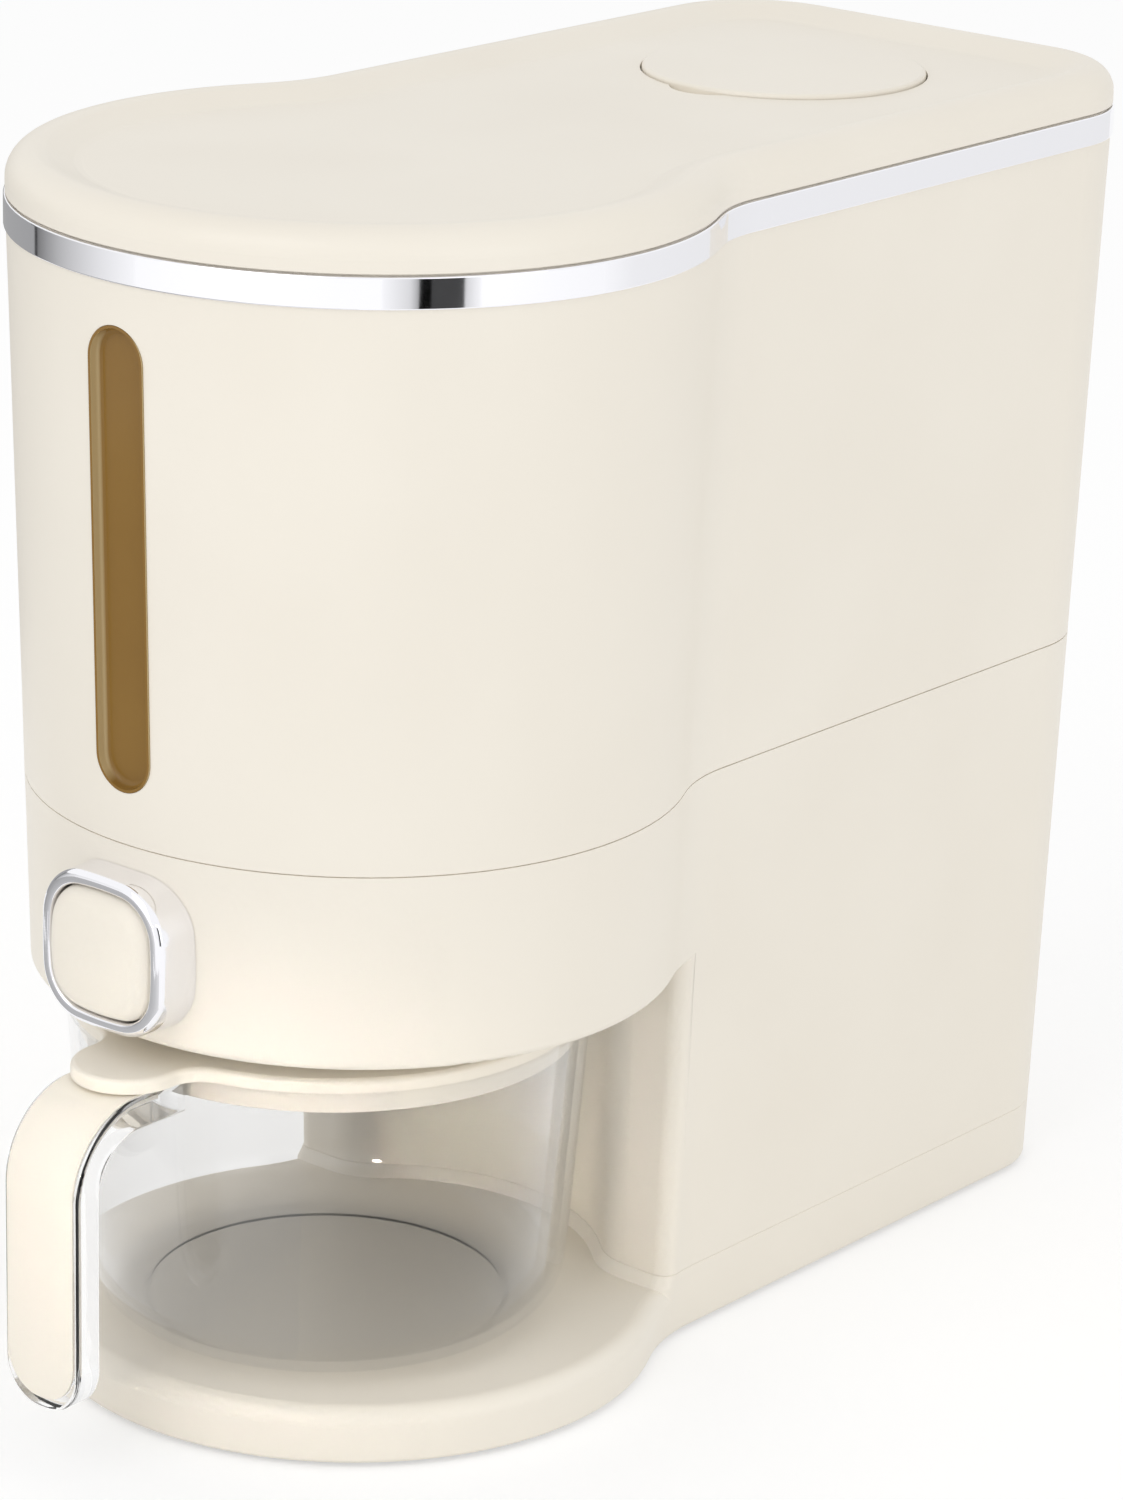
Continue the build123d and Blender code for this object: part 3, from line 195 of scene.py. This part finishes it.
def seen_directly(tree):
    """1 where the camera looks, straight or by way of a mirror or glass, and 0 for light that spreads."""
    path = add_node(tree, "ShaderNodeLightPath").outputs
    seen = reckon(tree, "MAXIMUM", path["Is Camera Ray"], path["Is Glossy Ray"])
    return reckon(tree, "MAXIMUM", seen, path["Is Transmission Ray"])


print("cream", [round(x, 3) for x in linear("#EEE6DA")])

# %% [markdown]
# ## Cream plastic
# The shells, the lid and the button are injection-moulded ABS. The mould was finished with a fine
# spark texture, so the surface is satin: light spreads softly, and a close look finds a faint grain.
# The real grain is about 0.1 mm, which is far too fine to show, so it is drawn at 0.9 mm. A much longer
# wave changes the cream a little, as plastic that flowed and cooled does.

# %% Cream plastic
cream_abs, tree, output, place = new_material("cream_abs_moulded_satin")
flow = noise(tree, place, 70, 2)
grain = noise(tree, place, 0.9, 3)
shader = add_node(
    tree,
    "ShaderNodeBsdfPrincipled",
    {"IOR": 1.53},
    {
        "Base Color": tinted(tree, flow, "#ECE5D8", "#F2ECE0"),
        "Roughness": between(tree, grain, 0.36, 0.46),
        "Normal": relief(tree, grain, 0.06, 0.0003),
    },
)
tree.links.new(shader.outputs["BSDF"], output.inputs["Surface"])
print("made", cream_abs.name)

# %% [markdown]
# ## Chrome
# The band under the lid and the button's frame are ABS with a chrome plating. Plating copies the
# moulding under it, so it is nearly a mirror, a touch cool, with a slow waviness that bends straight
# reflections a little. A mirror only looks like metal when it has something to mirror, which the
# studio gives it further down.

# %% Chrome
chrome, tree, output, place = new_material("chrome_plated_abs")
wave = noise(tree, place, 24, 1)
haze = noise(tree, place, 3, 4)
shader = add_node(
    tree,
    "ShaderNodeBsdfPrincipled",
    {"Base Color": linear("#F7F7FB"), "Metallic": 1.0},
    {"Roughness": between(tree, haze, 0.03, 0.09), "Normal": relief(tree, wave, 0.03, 0.001)},
)
tree.links.new(shader.outputs["BSDF"], output.inputs["Surface"])
print("made", chrome.name)

# %% [markdown]
# ## Tinted window
# The level window is a tray of SAN, a clear hard plastic, tinted amber. Behind it is the dark hopper,
# so it reads as a warm brown with a clean gloss. Most of the light is stopped in the tint, and only a
# little passes, so the finish is part colour and part glass. The tray's side wall gets a painted
# highlight: a face that looks sideways, to the right, is given a paler tint, as if it caught light along
# its edge.

# %% Tinted window
amber_san, tree, output, place = new_material("amber_san_polished")
COLOUR_A, COLOUR_B, COLOUR_RESULT = 6, 7, 2  # a mix node keeps its colour sockets here
# the painted highlight begins and is full at these shares of a face looking to the right
HIGHLIGHT_STARTS, HIGHLIGHT_FULL = 0.45, 0.8  # how far a face looks to the right
streak = noise(tree, place, 30, 3)
rub = noise(tree, place, 1.5, 4)
# painted highlight: faces that look to the right get the paler amber #C2AA7C in place of light on the
# tray's side wall
painted_highlight_mask = add_node(
    tree,
    "ShaderNodeMapRange",
    {"From Min": HIGHLIGHT_STARTS, "From Max": HIGHLIGHT_FULL},
    {"Value": facing(tree, "X")},
)
painted_highlight_tint = add_node(
    tree,
    "ShaderNodeMix",
    {COLOUR_B: linear("#C2AA7C")},
    {0: painted_highlight_mask.outputs["Result"], COLOUR_A: tinted(tree, streak, "#8B6830", "#957237")},
    data_type="RGBA",
)
shader = add_node(
    tree,
    "ShaderNodeBsdfPrincipled",
    {"IOR": 1.57, "Transmission Weight": 0.1, "Specular IOR Level": 0.2},
    {"Base Color": painted_highlight_tint.outputs[COLOUR_RESULT], "Roughness": between(tree, rub, 0.12, 0.2)},
)
tree.links.new(shader.outputs["BSDF"], output.inputs["Surface"])
print("made", amber_san.name)

# %% [markdown]
# ## Clear cup
# The measuring cup is clear SAN. Its handle is thick, so it bends light and turns bright and dark at
# its edges. The bowl's wall is thin: light goes almost straight on, loses a little to the plastic, and
# is mirrored more the flatter it strikes. Bending light through such a wall would cost many bounces
# and leave the bowl dark, so the wall is part see-through and part mirror, and the place decides: what
# lies outside the bowl's rim is handle. The bowl's floor lies close on its seat and mirrors less. Faint
# flow waves from moulding make the reflections wander.

# %% Clear cup
clear_san, tree, output, place = new_material("clear_san_moulded")
EDGE_POWER = 3.5  # the higher, the nearer to its edge a wall turns to a mirror
LEAST_SHINE, MOST_SHINE = 0.02, 0.9
FLOOR_STARTS, FLOOR_FULL = 0.3, 0.9  # how far a face looks up or down
FLOOR_SHINE = 0.2
RIM_SLACK = 0.0003
flow = noise(tree, place, 14, 2)
rub = noise(tree, place, 2, 3)
surface = {"Roughness": between(tree, rub, 0.0, 0.03), "Normal": relief(tree, flow, 0.05, 0.001)}
thick = add_node(
    tree,
    "ShaderNodeBsdfPrincipled",
    {"Base Color": linear("#FFFFFF"), "IOR": 1.57, "Transmission Weight": 1.0},
    surface,
)
slant = add_node(tree, "ShaderNodeLayerWeight", {"Blend": 0.5}).outputs["Facing"]
seated = add_node(
    tree,
    "ShaderNodeMapRange",
    {"From Min": FLOOR_STARTS, "From Max": FLOOR_FULL, "To Min": 1.0, "To Max": FLOOR_SHINE},
    {"Value": reckon(tree, "ABSOLUTE", facing(tree, "Z"))},
)
shine = reckon(tree, "MULTIPLY", reckon(tree, "POWER", slant, EDGE_POWER), seated.outputs["Result"])
share = between(tree, shine, LEAST_SHINE, MOST_SHINE)
straight = add_node(tree, "ShaderNodeBsdfTransparent", {"Color": linear("#FCFCFC")})
mirror = add_node(tree, "ShaderNodeBsdfGlossy", {"Color": linear("#FFFFFF")}, surface)
thin = add_node(
    tree, "ShaderNodeMixShader", links={0: share, 1: straight.outputs[0], 2: mirror.outputs[0]}
)
cup_low, cup_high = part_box("measuring_cup")
rim_radius = (cup_high[0] - cup_low[0]) / 2
bowl_axis = ((cup_low[0] + cup_high[0]) / 2, cup_high[1] - rim_radius, 0)
handle = reckon(tree, "GREATER_THAN", from_axis(tree, place, bowl_axis), rim_radius + RIM_SLACK)
cup_wall = add_node(
    tree, "ShaderNodeMixShader", links={0: handle, 1: thin.outputs[0], 2: thick.outputs["BSDF"]}
)
tree.links.new(cup_wall.outputs[0], output.inputs["Surface"])
print("made", clear_san.name, "rim radius", round(1000 * rim_radius, 1), "mm")

# %% [markdown]
# ## Plastics that are seldom seen
# The hopper floor, the lid's liner and the desiccant basket are natural polypropylene, which is milky
# and waxy. The chute, the gate and the yoke rub on each other, so they are acetal, whiter and slicker.
# Both are drawn the same way, and only the numbers differ.

# %% Polypropylene and acetal
# Dark and pale colour, least and most roughness, bending of light, grain in millimetres
INNER_PLASTICS = {
    "natural_polypropylene": ("#E6E3DA", "#EFEDE6", 0.5, 0.6, 1.49, 2.5),
    "white_acetal": ("#E9E8E4", "#F2F1EE", 0.32, 0.42, 1.48, 1.4),
}
inner_plastic = {}
for name, (dark, pale, smooth, rough, ior, grain_mm) in INNER_PLASTICS.items():
    material, tree, output, place = new_material(name)
    cloud = noise(tree, place, 18, 3)
    grain = noise(tree, place, grain_mm, 3)
    shader = add_node(
        tree,
        "ShaderNodeBsdfPrincipled",
        {"IOR": ior, "Subsurface Weight": 0.1, "Subsurface Scale": 0.002},
        {
            "Base Color": tinted(tree, cloud, dark, pale),
            "Roughness": between(tree, grain, smooth, rough),
            "Normal": relief(tree, grain, 0.08, 0.0004),
        },
    )
    tree.links.new(shader.outputs["BSDF"], output.inputs["Surface"])
    inner_plastic[name] = material
print("made", sorted(inner_plastic))

# %% [markdown]
# ## Steel, silicone and rubber
# Screws and pins are zinc-plated steel, grey with a crystalline bloom. The spring is drawn steel wire,
# brighter. The seals are milky silicone, and the feet are grey silicone rubber with a dusty, matt skin.

# %% Steel, silicone and rubber
# Dark and pale colour, metal or not, least and most roughness, grain in millimetres, relief
SMALL_FINISHES = {
    "zinc_plated_steel": ("#A9ACB1", "#C6C9CD", 1.0, 0.26, 0.42, 1.2, 0.1),
    "drawn_spring_steel": ("#9FA1A5", "#B9BBBF", 1.0, 0.18, 0.28, 0.8, 0.05),
    "milky_silicone": ("#DAD8D1", "#E6E4DE", 0.0, 0.5, 0.62, 1.0, 0.1),
    "grey_silicone_rubber": ("#A9A8A4", "#B9B8B4", 0.0, 0.7, 0.88, 0.7, 0.3),
}
small_finish = {}
for name, (dark, pale, metallic, smooth, rough, grain_mm, strength) in SMALL_FINISHES.items():
    material, tree, output, place = new_material(name)
    grain = noise(tree, place, grain_mm, 4)
    shader = add_node(
        tree,
        "ShaderNodeBsdfPrincipled",
        {"Metallic": metallic},
        {
            "Base Color": tinted(tree, grain, dark, pale),
            "Roughness": between(tree, grain, smooth, rough),
            "Normal": relief(tree, grain, strength, 0.0002),
        },
    )
    tree.links.new(shader.outputs["BSDF"], output.inputs["Surface"])
    small_finish[name] = material
print("made", sorted(small_finish))

# %% [markdown]
# ## Finish every solid
# A solid keeps its shape and only swaps what is in its material slots. One table says which finish
# each piece has, so nothing is left in the grey that the frame came with.

# %% Finish every solid
FINISH = {
    "base_tray": cream_abs,
    "lower_housing": cream_abs,
    "upper_housing": cream_abs,
    "lid_cover": cream_abs,
    "desiccant_cap": cream_abs,
    "push_button": cream_abs,
    "handle_cover": cream_abs,
    "cup_lid": cream_abs,
    "trim_band": chrome,
    "button_bezel": chrome,
    "window_lens": amber_san,
    "measuring_cup": clear_san,
    "hopper_floor": inner_plastic["natural_polypropylene"],
    "lid_liner": inner_plastic["natural_polypropylene"],
    "desiccant_basket": inner_plastic["natural_polypropylene"],
    "outlet_chute": inner_plastic["white_acetal"],
    "radial_gate": inner_plastic["white_acetal"],
    "plunger_yoke": inner_plastic["white_acetal"],
    "gate_pivot_pins": small_finish["zinc_plated_steel"],
    "return_spring": small_finish["drawn_spring_steel"],
    "lid_seal": small_finish["milky_silicone"],
    "cap_seal": small_finish["milky_silicone"],
}
for name, material in FINISH.items():
    piece = nodes[name]
    if not piece.material_slots:
        piece.data.materials.append(material)
    for slot in piece.material_slots:
        slot.material = material
print("finished", len(FINISH), "of", len(nodes), "nodes")

# %% [markdown]
# ## Screws
# Twenty-one screws hold the dispenser together. They are all of one kind: a low domed head with a
# cross-shaped recess and a coarse thread for plastic. Modelling one and copying it by hand would work,
# but a node tree with its sizes as inputs makes each length from the same recipe, so the solids' plain
# screws only have to say where a screw goes and how long it is.

# %% Steps that screws and feet share


def new_shape_tree(name, sizes):
    """A node tree that takes points and named sizes, and the sockets it can read them from."""
    tree = bpy.data.node_groups.new(name, "GeometryNodeTree")
    tree.interface.new_socket("Places", in_out="INPUT", socket_type="NodeSocketGeometry")
    for size in sizes:
        tree.interface.new_socket(size, in_out="INPUT", socket_type="NodeSocketFloat")
    tree.interface.new_socket("Shape", in_out="OUTPUT", socket_type="NodeSocketGeometry")
    return tree, add_node(tree, "NodeGroupInput").outputs


def raised(tree, shape, height):
    """A shape moved up by a height."""
    lift = add_node(tree, "ShaderNodeCombineXYZ", links={"Z": height})
    return add_node(
        tree, "GeometryNodeTransform", links={"Geometry": shape, "Translation": lift.outputs[0]}
    ).outputs[0]


def bottom_lifted(tree, cylinder, height):
    """A cylinder whose bottom face is lifted, point by point, by a height."""
    lift = add_node(tree, "ShaderNodeCombineXYZ", links={"Z": height})
    return add_node(
        tree,
        "GeometryNodeSetPosition",
        links={
            "Geometry": cylinder.outputs["Mesh"],
            "Selection": cylinder.outputs["Bottom"],
            "Offset": lift.outputs[0],
        },
    ).outputs[0]


def without(tree, shape, tool):
    """A shape with a tool's shape cut out of it."""
    return add_node(
        tree, "GeometryNodeMeshBoolean", links={"Mesh 1": shape, "Mesh 2": tool}, operation="DIFFERENCE"
    ).outputs["Mesh"]


def place_and_finish(tree, shape, size, material):
    """Puts a shape on every place, makes it real and gives it its finish."""
    copies = add_node(
        tree, "GeometryNodeInstanceOnPoints", links={"Points": size["Places"], "Instance": shape}
    )
    real = add_node(tree, "GeometryNodeRealizeInstances", links={"Geometry": copies.outputs[0]})
    done = add_node(tree, "GeometryNodeSetMaterial", {"Material": material}, {"Geometry": real.outputs[0]})
    add_node(tree, "NodeGroupOutput", links={"Shape": done.outputs[0]})


print("shape steps are ready")

# %% A node tree for a screw's head
SCREW_SIZES = ["Head Radius", "Head Height", "Shank Radius", "Shank Length", "Thread Pitch"]
DOME_POWER, DOME_SHARE = 2.5, 0.55  # how late the head rounds off, and by how much of its height
RECESS_LENGTH, RECESS_WIDTH, RECESS_HEIGHT = 1.1, 0.28, 1.1  # shares of the head's radius and height
CORE_SHARE, RIDGE_SHARE = 0.8, 0.2  # shares of the shank's radius

screw_tree, size = new_shape_tree("cross_recess_screw", SCREW_SIZES)
half_head = reckon(screw_tree, "MULTIPLY", size["Head Height"], -0.5)
head = add_node(
    screw_tree,
    "GeometryNodeMeshCylinder",
    {"Vertices": 40, "Fill Segments": 10},
    {"Radius": size["Head Radius"], "Depth": size["Head Height"]},
    fill_type="TRIANGLE_FAN",
)
position = add_node(screw_tree, "GeometryNodeInputPosition").outputs[0]
out_share = reckon(screw_tree, "DIVIDE", from_axis(screw_tree, position), size["Head Radius"])
dome = reckon(
    screw_tree,
    "MULTIPLY",
    reckon(screw_tree, "POWER", out_share, DOME_POWER),
    reckon(screw_tree, "MULTIPLY", size["Head Height"], DOME_SHARE),
)
domed = bottom_lifted(screw_tree, head, dome)
arm = add_node(
    screw_tree,
    "ShaderNodeCombineXYZ",
    links={
        "X": reckon(screw_tree, "MULTIPLY", size["Head Radius"], RECESS_LENGTH),
        "Y": reckon(screw_tree, "MULTIPLY", size["Head Radius"], RECESS_WIDTH),
        "Z": reckon(screw_tree, "MULTIPLY", size["Head Height"], RECESS_HEIGHT),
    },
)
bar = add_node(screw_tree, "GeometryNodeMeshCube", links={"Size": arm.outputs[0]}).outputs["Mesh"]
crossbar = add_node(
    screw_tree, "GeometryNodeTransform", {"Rotation": (0, 0, math.pi / 2)}, {"Geometry": bar}
).outputs[0]
slotted = without(screw_tree, domed, raised(screw_tree, bar, half_head))
crossed = without(screw_tree, slotted, raised(screw_tree, crossbar, half_head))
head_down = raised(screw_tree, crossed, half_head)
print("screw head:", len(screw_tree.nodes), "nodes")

# %% The screw's thread, and its copies
core_radius = reckon(screw_tree, "MULTIPLY", size["Shank Radius"], CORE_SHARE)
core = add_node(
    screw_tree,
    "GeometryNodeMeshCylinder",
    {"Vertices": 24},
    {"Radius": core_radius, "Depth": size["Shank Length"]},
)
half_shank = reckon(screw_tree, "MULTIPLY", size["Shank Length"], 0.5)
thread_line = add_node(
    screw_tree,
    "GeometryNodeCurveSpiral",
    {"Resolution": 16},
    {
        "Rotations": reckon(screw_tree, "DIVIDE", size["Shank Length"], size["Thread Pitch"]),
        "Start Radius": core_radius,
        "End Radius": core_radius,
        "Height": size["Shank Length"],
    },
)
ridge = add_node(
    screw_tree,
    "GeometryNodeCurvePrimitiveCircle",
    {"Resolution": 3},
    {"Radius": reckon(screw_tree, "MULTIPLY", size["Shank Radius"], RIDGE_SHARE)},
)
thread = add_node(
    screw_tree,
    "GeometryNodeCurveToMesh",
    {"Fill Caps": True},
    {"Curve": thread_line.outputs[0], "Profile Curve": ridge.outputs[0]},
)
one_screw = add_node(screw_tree, "GeometryNodeJoinGeometry")
for part in (head_down, raised(screw_tree, core.outputs["Mesh"], half_shank), thread.outputs[0]):
    screw_tree.links.new(part, one_screw.inputs[0])
place_and_finish(screw_tree, one_screw.outputs[0], size, small_finish["zinc_plated_steel"])
print("screw tree:", len(screw_tree.nodes), "nodes")

# %% Screws where the solids have them
SCREW_HEAD_RADIUS = 0.0029
SCREW_HEAD_HEIGHT = 0.0019
SCREW_RADIUS = 0.0015
THREAD_PITCH = 0.0011
WITHIN = 2.2  # points within this many radii of each other belong to one round piece
SCREW_BODIES = {
    "base_screws": "housing",
    "chute_screws": "housing",
    "floor_screws": "housing",
    "liner_screws": "lid",
}


def axes_of(node, reach):
    """The upright axes of a node's separate round pieces, each of them narrower than reach."""
    groups = []
    for vertex in nodes[node].data.vertices:
        for group in groups:
            if (vertex.co.xy - group[0].xy).length < reach:
                group.append(vertex.co)
                break
        else:
            groups.append([vertex.co])
    centres = []
    for group in groups:
        xs = [point.x for point in group]
        ys = [point.y for point in group]
        centres.append(((min(xs) + max(xs)) / 2, (min(ys) + max(ys)) / 2))
    return centres


def run_tree(name, tree, places, sizes):
    """Runs a tree on its places and keeps the result as a plain mesh at the origin."""
    cloud = bpy.data.meshes.new(name + "_places")
    cloud.from_pydata(places, [], [])
    piece = bpy.data.objects.new(name, cloud)
    scene.collection.objects.link(piece)
    modifier = piece.modifiers.new("shape", "NODES")
    modifier.node_group = tree
    for socket in tree.interface.items_tree:
        if socket.in_out == "INPUT" and socket.name in sizes:
            modifier[socket.identifier] = sizes[socket.name]
    evaluated = piece.evaluated_get(bpy.context.evaluated_depsgraph_get())
    mesh = bpy.data.meshes.new_from_object(evaluated)
    piece.modifiers.clear()
    piece.data = mesh
    bpy.data.meshes.remove(cloud)
    return piece


for node, body in SCREW_BODIES.items():
    low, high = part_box(node)
    seat = low[2] + SCREW_HEAD_HEIGHT
    places = [(x, y, seat) for x, y in axes_of(node, WITHIN * SCREW_HEAD_RADIUS)]
    sizes = {
        "Head Radius": SCREW_HEAD_RADIUS,
        "Head Height": SCREW_HEAD_HEIGHT,
        "Shank Radius": SCREW_RADIUS,
        "Shank Length": high[2] - seat,
        "Thread Pitch": THREAD_PITCH,
    }
    screws = run_tree(node + "_cross_recess", screw_tree, places, sizes)
    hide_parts(node)
    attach(screws, body)
    print(screws.name, len(places), "screws,", len(screws.data.polygons), "faces")

# %% [markdown]
# ## Feet
# Four round rubber pads keep the base from sliding. Their undersides have rings that grip and let air
# out. A ring pattern follows a rule, so it is written as one: the further from the middle, the more
# waves have gone by, and the wave lifts the rubber off the table.

# %% Feet
FOOT_RADIUS = 0.010
RING_SPACING, RING_DEPTH = 0.0025, 0.0006
EDGE_SHARE = 0.99  # beyond this share of the radius the pad's rim is lifted too

foot_tree, size = new_shape_tree("ringed_foot", ["Radius", "Height", "Ring Spacing", "Ring Depth"])
pad = add_node(
    foot_tree,
    "GeometryNodeMeshCylinder",
    {"Vertices": 64, "Side Segments": 3, "Fill Segments": 40},
    {"Radius": size["Radius"], "Depth": size["Height"]},
    fill_type="TRIANGLE_FAN",
)
reach = from_axis(foot_tree, add_node(foot_tree, "GeometryNodeInputPosition").outputs[0])
phase = reckon(foot_tree, "MULTIPLY", reckon(foot_tree, "DIVIDE", reach, size["Ring Spacing"]), 2 * math.pi)
groove = add_node(
    foot_tree,
    "ShaderNodeMapRange",
    {"From Min": 1.0, "From Max": -1.0, "To Min": 0.0},
    {"Value": reckon(foot_tree, "COSINE", phase), "To Max": size["Ring Depth"]},
).outputs["Result"]
edge = reckon(foot_tree, "GREATER_THAN", reach, reckon(foot_tree, "MULTIPLY", size["Radius"], EDGE_SHARE))
edge_lift = reckon(foot_tree, "MULTIPLY", edge, size["Ring Depth"])
ringed = bottom_lifted(foot_tree, pad, reckon(foot_tree, "MAXIMUM", groove, edge_lift))
standing = raised(foot_tree, ringed, reckon(foot_tree, "MULTIPLY", size["Height"], 0.5))
place_and_finish(foot_tree, standing, size, small_finish["grey_silicone_rubber"])

low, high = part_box("rubber_feet")
places = [(x, y, low[2]) for x, y in axes_of("rubber_feet", WITHIN * FOOT_RADIUS)]
sizes = {
    "Radius": FOOT_RADIUS,
    "Height": high[2] - low[2],
    "Ring Spacing": RING_SPACING,
    "Ring Depth": RING_DEPTH,
}
feet = run_tree("ringed_feet", foot_tree, places, sizes)
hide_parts("rubber_feet")
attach(feet, "housing")
print(feet.name, len(places), "feet,", len(feet.data.polygons), "faces")

# %% [markdown]
# ## Studio
# The picture has a white ground with a soft shadow. The floor is white to the camera, and to mirrors
# and glass, by adding a little glow to a plain matt floor, so the shadow stays. The light is even: a
# bright room all round, a wide lamp high in front that makes the lid's rim paler than its sunk panel,
# one at the right, a weak low one in front, and a narrow warm one that reaches into the cup's bay.

# %% Floor
FLOOR_HALF = 12.0
FLOOR_SPREAD, FLOOR_SEEN = 0.96, 0.56  # its grey for light that spreads, and for the camera
FLOOR_GLOW = 0.5
floor_mesh = bpy.data.meshes.new("studio_floor")
corners = [(FLOOR_HALF * x, FLOOR_HALF * y, 0) for x, y in ((-1, -1), (1, -1), (1, 1), (-1, 1))]
floor_mesh.from_pydata(corners, [], [(0, 1, 2, 3)])
floor = bpy.data.objects.new("studio_floor", floor_mesh)
scene.collection.objects.link(floor)
floor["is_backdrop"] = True

floor_paper, tree, output, place = new_material("white_paper_floor")
seen = seen_directly(tree)
shade = between(tree, seen, FLOOR_SPREAD, FLOOR_SEEN)
glow = reckon(tree, "MULTIPLY", seen, FLOOR_GLOW)
paper = add_node(tree, "ShaderNodeBsdfDiffuse", links={"Color": shade})
light = add_node(tree, "ShaderNodeEmission", links={"Strength": glow})
both = add_node(tree, "ShaderNodeAddShader", links={0: paper.outputs[0], 1: light.outputs[0]})
tree.links.new(both.outputs[0], output.inputs["Surface"])
floor_mesh.materials.append(floor_paper)
print("floor", 2 * FLOOR_HALF, "m wide")

# %% Room light
ROOM_LEVEL, ROOM_SEEN = 0.82, 1.0  # its strength as light, and as what is seen
world = bpy.data.worlds.new("bright_room")
world.use_nodes = True
tree = world.node_tree
tree.nodes.clear()
level = between(tree, seen_directly(tree), ROOM_LEVEL, ROOM_SEEN)
room = add_node(tree, "ShaderNodeBackground", {"Color": linear("#FFFFFF")}, {"Strength": level})
add_node(tree, "ShaderNodeOutputWorld", links={"Surface": room.outputs[0]})
scene.world = world
print("room light", ROOM_LEVEL)

# %% Lamps
WHITE, WARM = (1, 1, 1), (1, 0.92, 0.76)
# Place, point it aims at, width, watts, spread in degrees, colour
LAMPS = {
    "front_lamp": ((-0.1, -2.3, 0.35), (0, 0, 0.18), 1.6, 1.5, 180, WHITE),
    "side_lamp": ((2.2, -0.5, 0.4), (0, 0, 0.18), 1.6, 6.5, 180, WHITE),
    "high_lamp": ((0.1, -1.8, 1.7), (0, 0, 0.25), 1.4, 8, 180, WHITE),
    "bay_lamp": ((0.3, -1.0, 0.24), (0, -0.03, 0.055), 0.1, 0.015, 7.5, WARM),
}
for name, (place, aim, size, watts, spread, tint) in LAMPS.items():
    lamp_data = bpy.data.lights.new(name, "AREA")
    lamp_data.size = size
    lamp_data.energy = watts
    lamp_data.color = tint
    lamp_data.spread = math.radians(spread)
    lamp = bpy.data.objects.new(name, lamp_data)
    lamp.location = place
    lamp.rotation_euler = (Vector(aim) - Vector(place)).to_track_quat("-Z", "Y").to_euler()
    scene.collection.objects.link(lamp)
print("lit by", len(LAMPS), "lamps and the room")

# %% [markdown]
# ## Cards for the chrome
# In an all-white room chrome turns white. Photographers stand dark cards just outside the picture, and
# their reflections draw the metal. These cards stand on an arc round the dispenser, seen by mirrors
# only: a narrow dark one to the right, a grey one on the left that fades to white, a pale one behind,
# and two low ones in front, standing and lying, which turn the button's frame grey.

# %% Cards for the chrome
LOBE_Y = -0.071  # the middle of the dispenser's round front
# The lower and upper rim of a card, each a radius and a height
STANDING = ((0.75, 0.02), (0.75, 0.42))
LOW = ((0.5, 0.0), (0.5, 0.165))
LYING = ((0.22, 0.002), (0.5, 0.002))
# Tones along a card, each with its angle from straight ahead
LEFT = [(-150, 0.42), (-79.5, 0.36), (-79.4, 0.06), (-77.5, 0.06), (-77.4, 0.2)]
LEFT += [(-63, 0.5), (-45, 0.8), (-30, 1)]
RIGHT = [(47, 1), (55, 0.75), (57.5, 0.4), (57.6, 0), (61, 0), (61.1, 0.06), (71, 0.06)]
RIGHT += [(71.1, 0.7), (76, 1)]
BEHIND = [(118, 1), (130, 0.9), (150, 0.88), (178, 0.86)]
AHEAD = [(-75, 0.33), (-48, 0.4), (-20, 0.55), (5, 0.8)]
BELOW = [(-75, 0.42), (-30, 0.5), (10, 0.62), (40, 0.8)]
CARDS = [(STANDING, LEFT), (STANDING, RIGHT), (STANDING, BEHIND), (LOW, AHEAD), (LYING, BELOW)]
points, faces, tones = [], [], []
for rims, turns in CARDS:
    for step, (angle, tone) in enumerate(turns):
        side, ahead = math.sin(math.radians(angle)), math.cos(math.radians(angle))
        points += [(radius * side, LOBE_Y - radius * ahead, height) for radius, height in rims]
        tones += [tone, tone]
        if step:
            last = len(points)
            faces.append((last - 4, last - 2, last - 1, last - 3))
card_mesh = bpy.data.meshes.new("reflection_cards")
card_mesh.from_pydata(points, [], faces)
attribute = card_mesh.attributes.new("tone", "FLOAT", "POINT")
attribute.data.foreach_set("value", tones)
cards = bpy.data.objects.new("reflection_cards", card_mesh)
scene.collection.objects.link(cards)
cards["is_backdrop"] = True
for ray in ("camera", "diffuse", "transmission", "shadow", "volume_scatter"):
    setattr(cards, "visible_" + ray, False)
card_paint, tree, output, place = new_material("matt_card")
tone = add_node(tree, "ShaderNodeAttribute", attribute_name="tone")
light = add_node(tree, "ShaderNodeEmission", links={"Color": tone.outputs["Fac"]})
tree.links.new(light.outputs[0], output.inputs["Surface"])
card_mesh.materials.append(card_paint)
print("cards:", len(faces), "panels")

# %% [markdown]
# ## Size
# The dressed model has to stay in the box of the solids, so its own box is measured and printed.

# %% Size
low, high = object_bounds()
print("visual", [round(1000 * x, 1) for x in high - low], "mm")
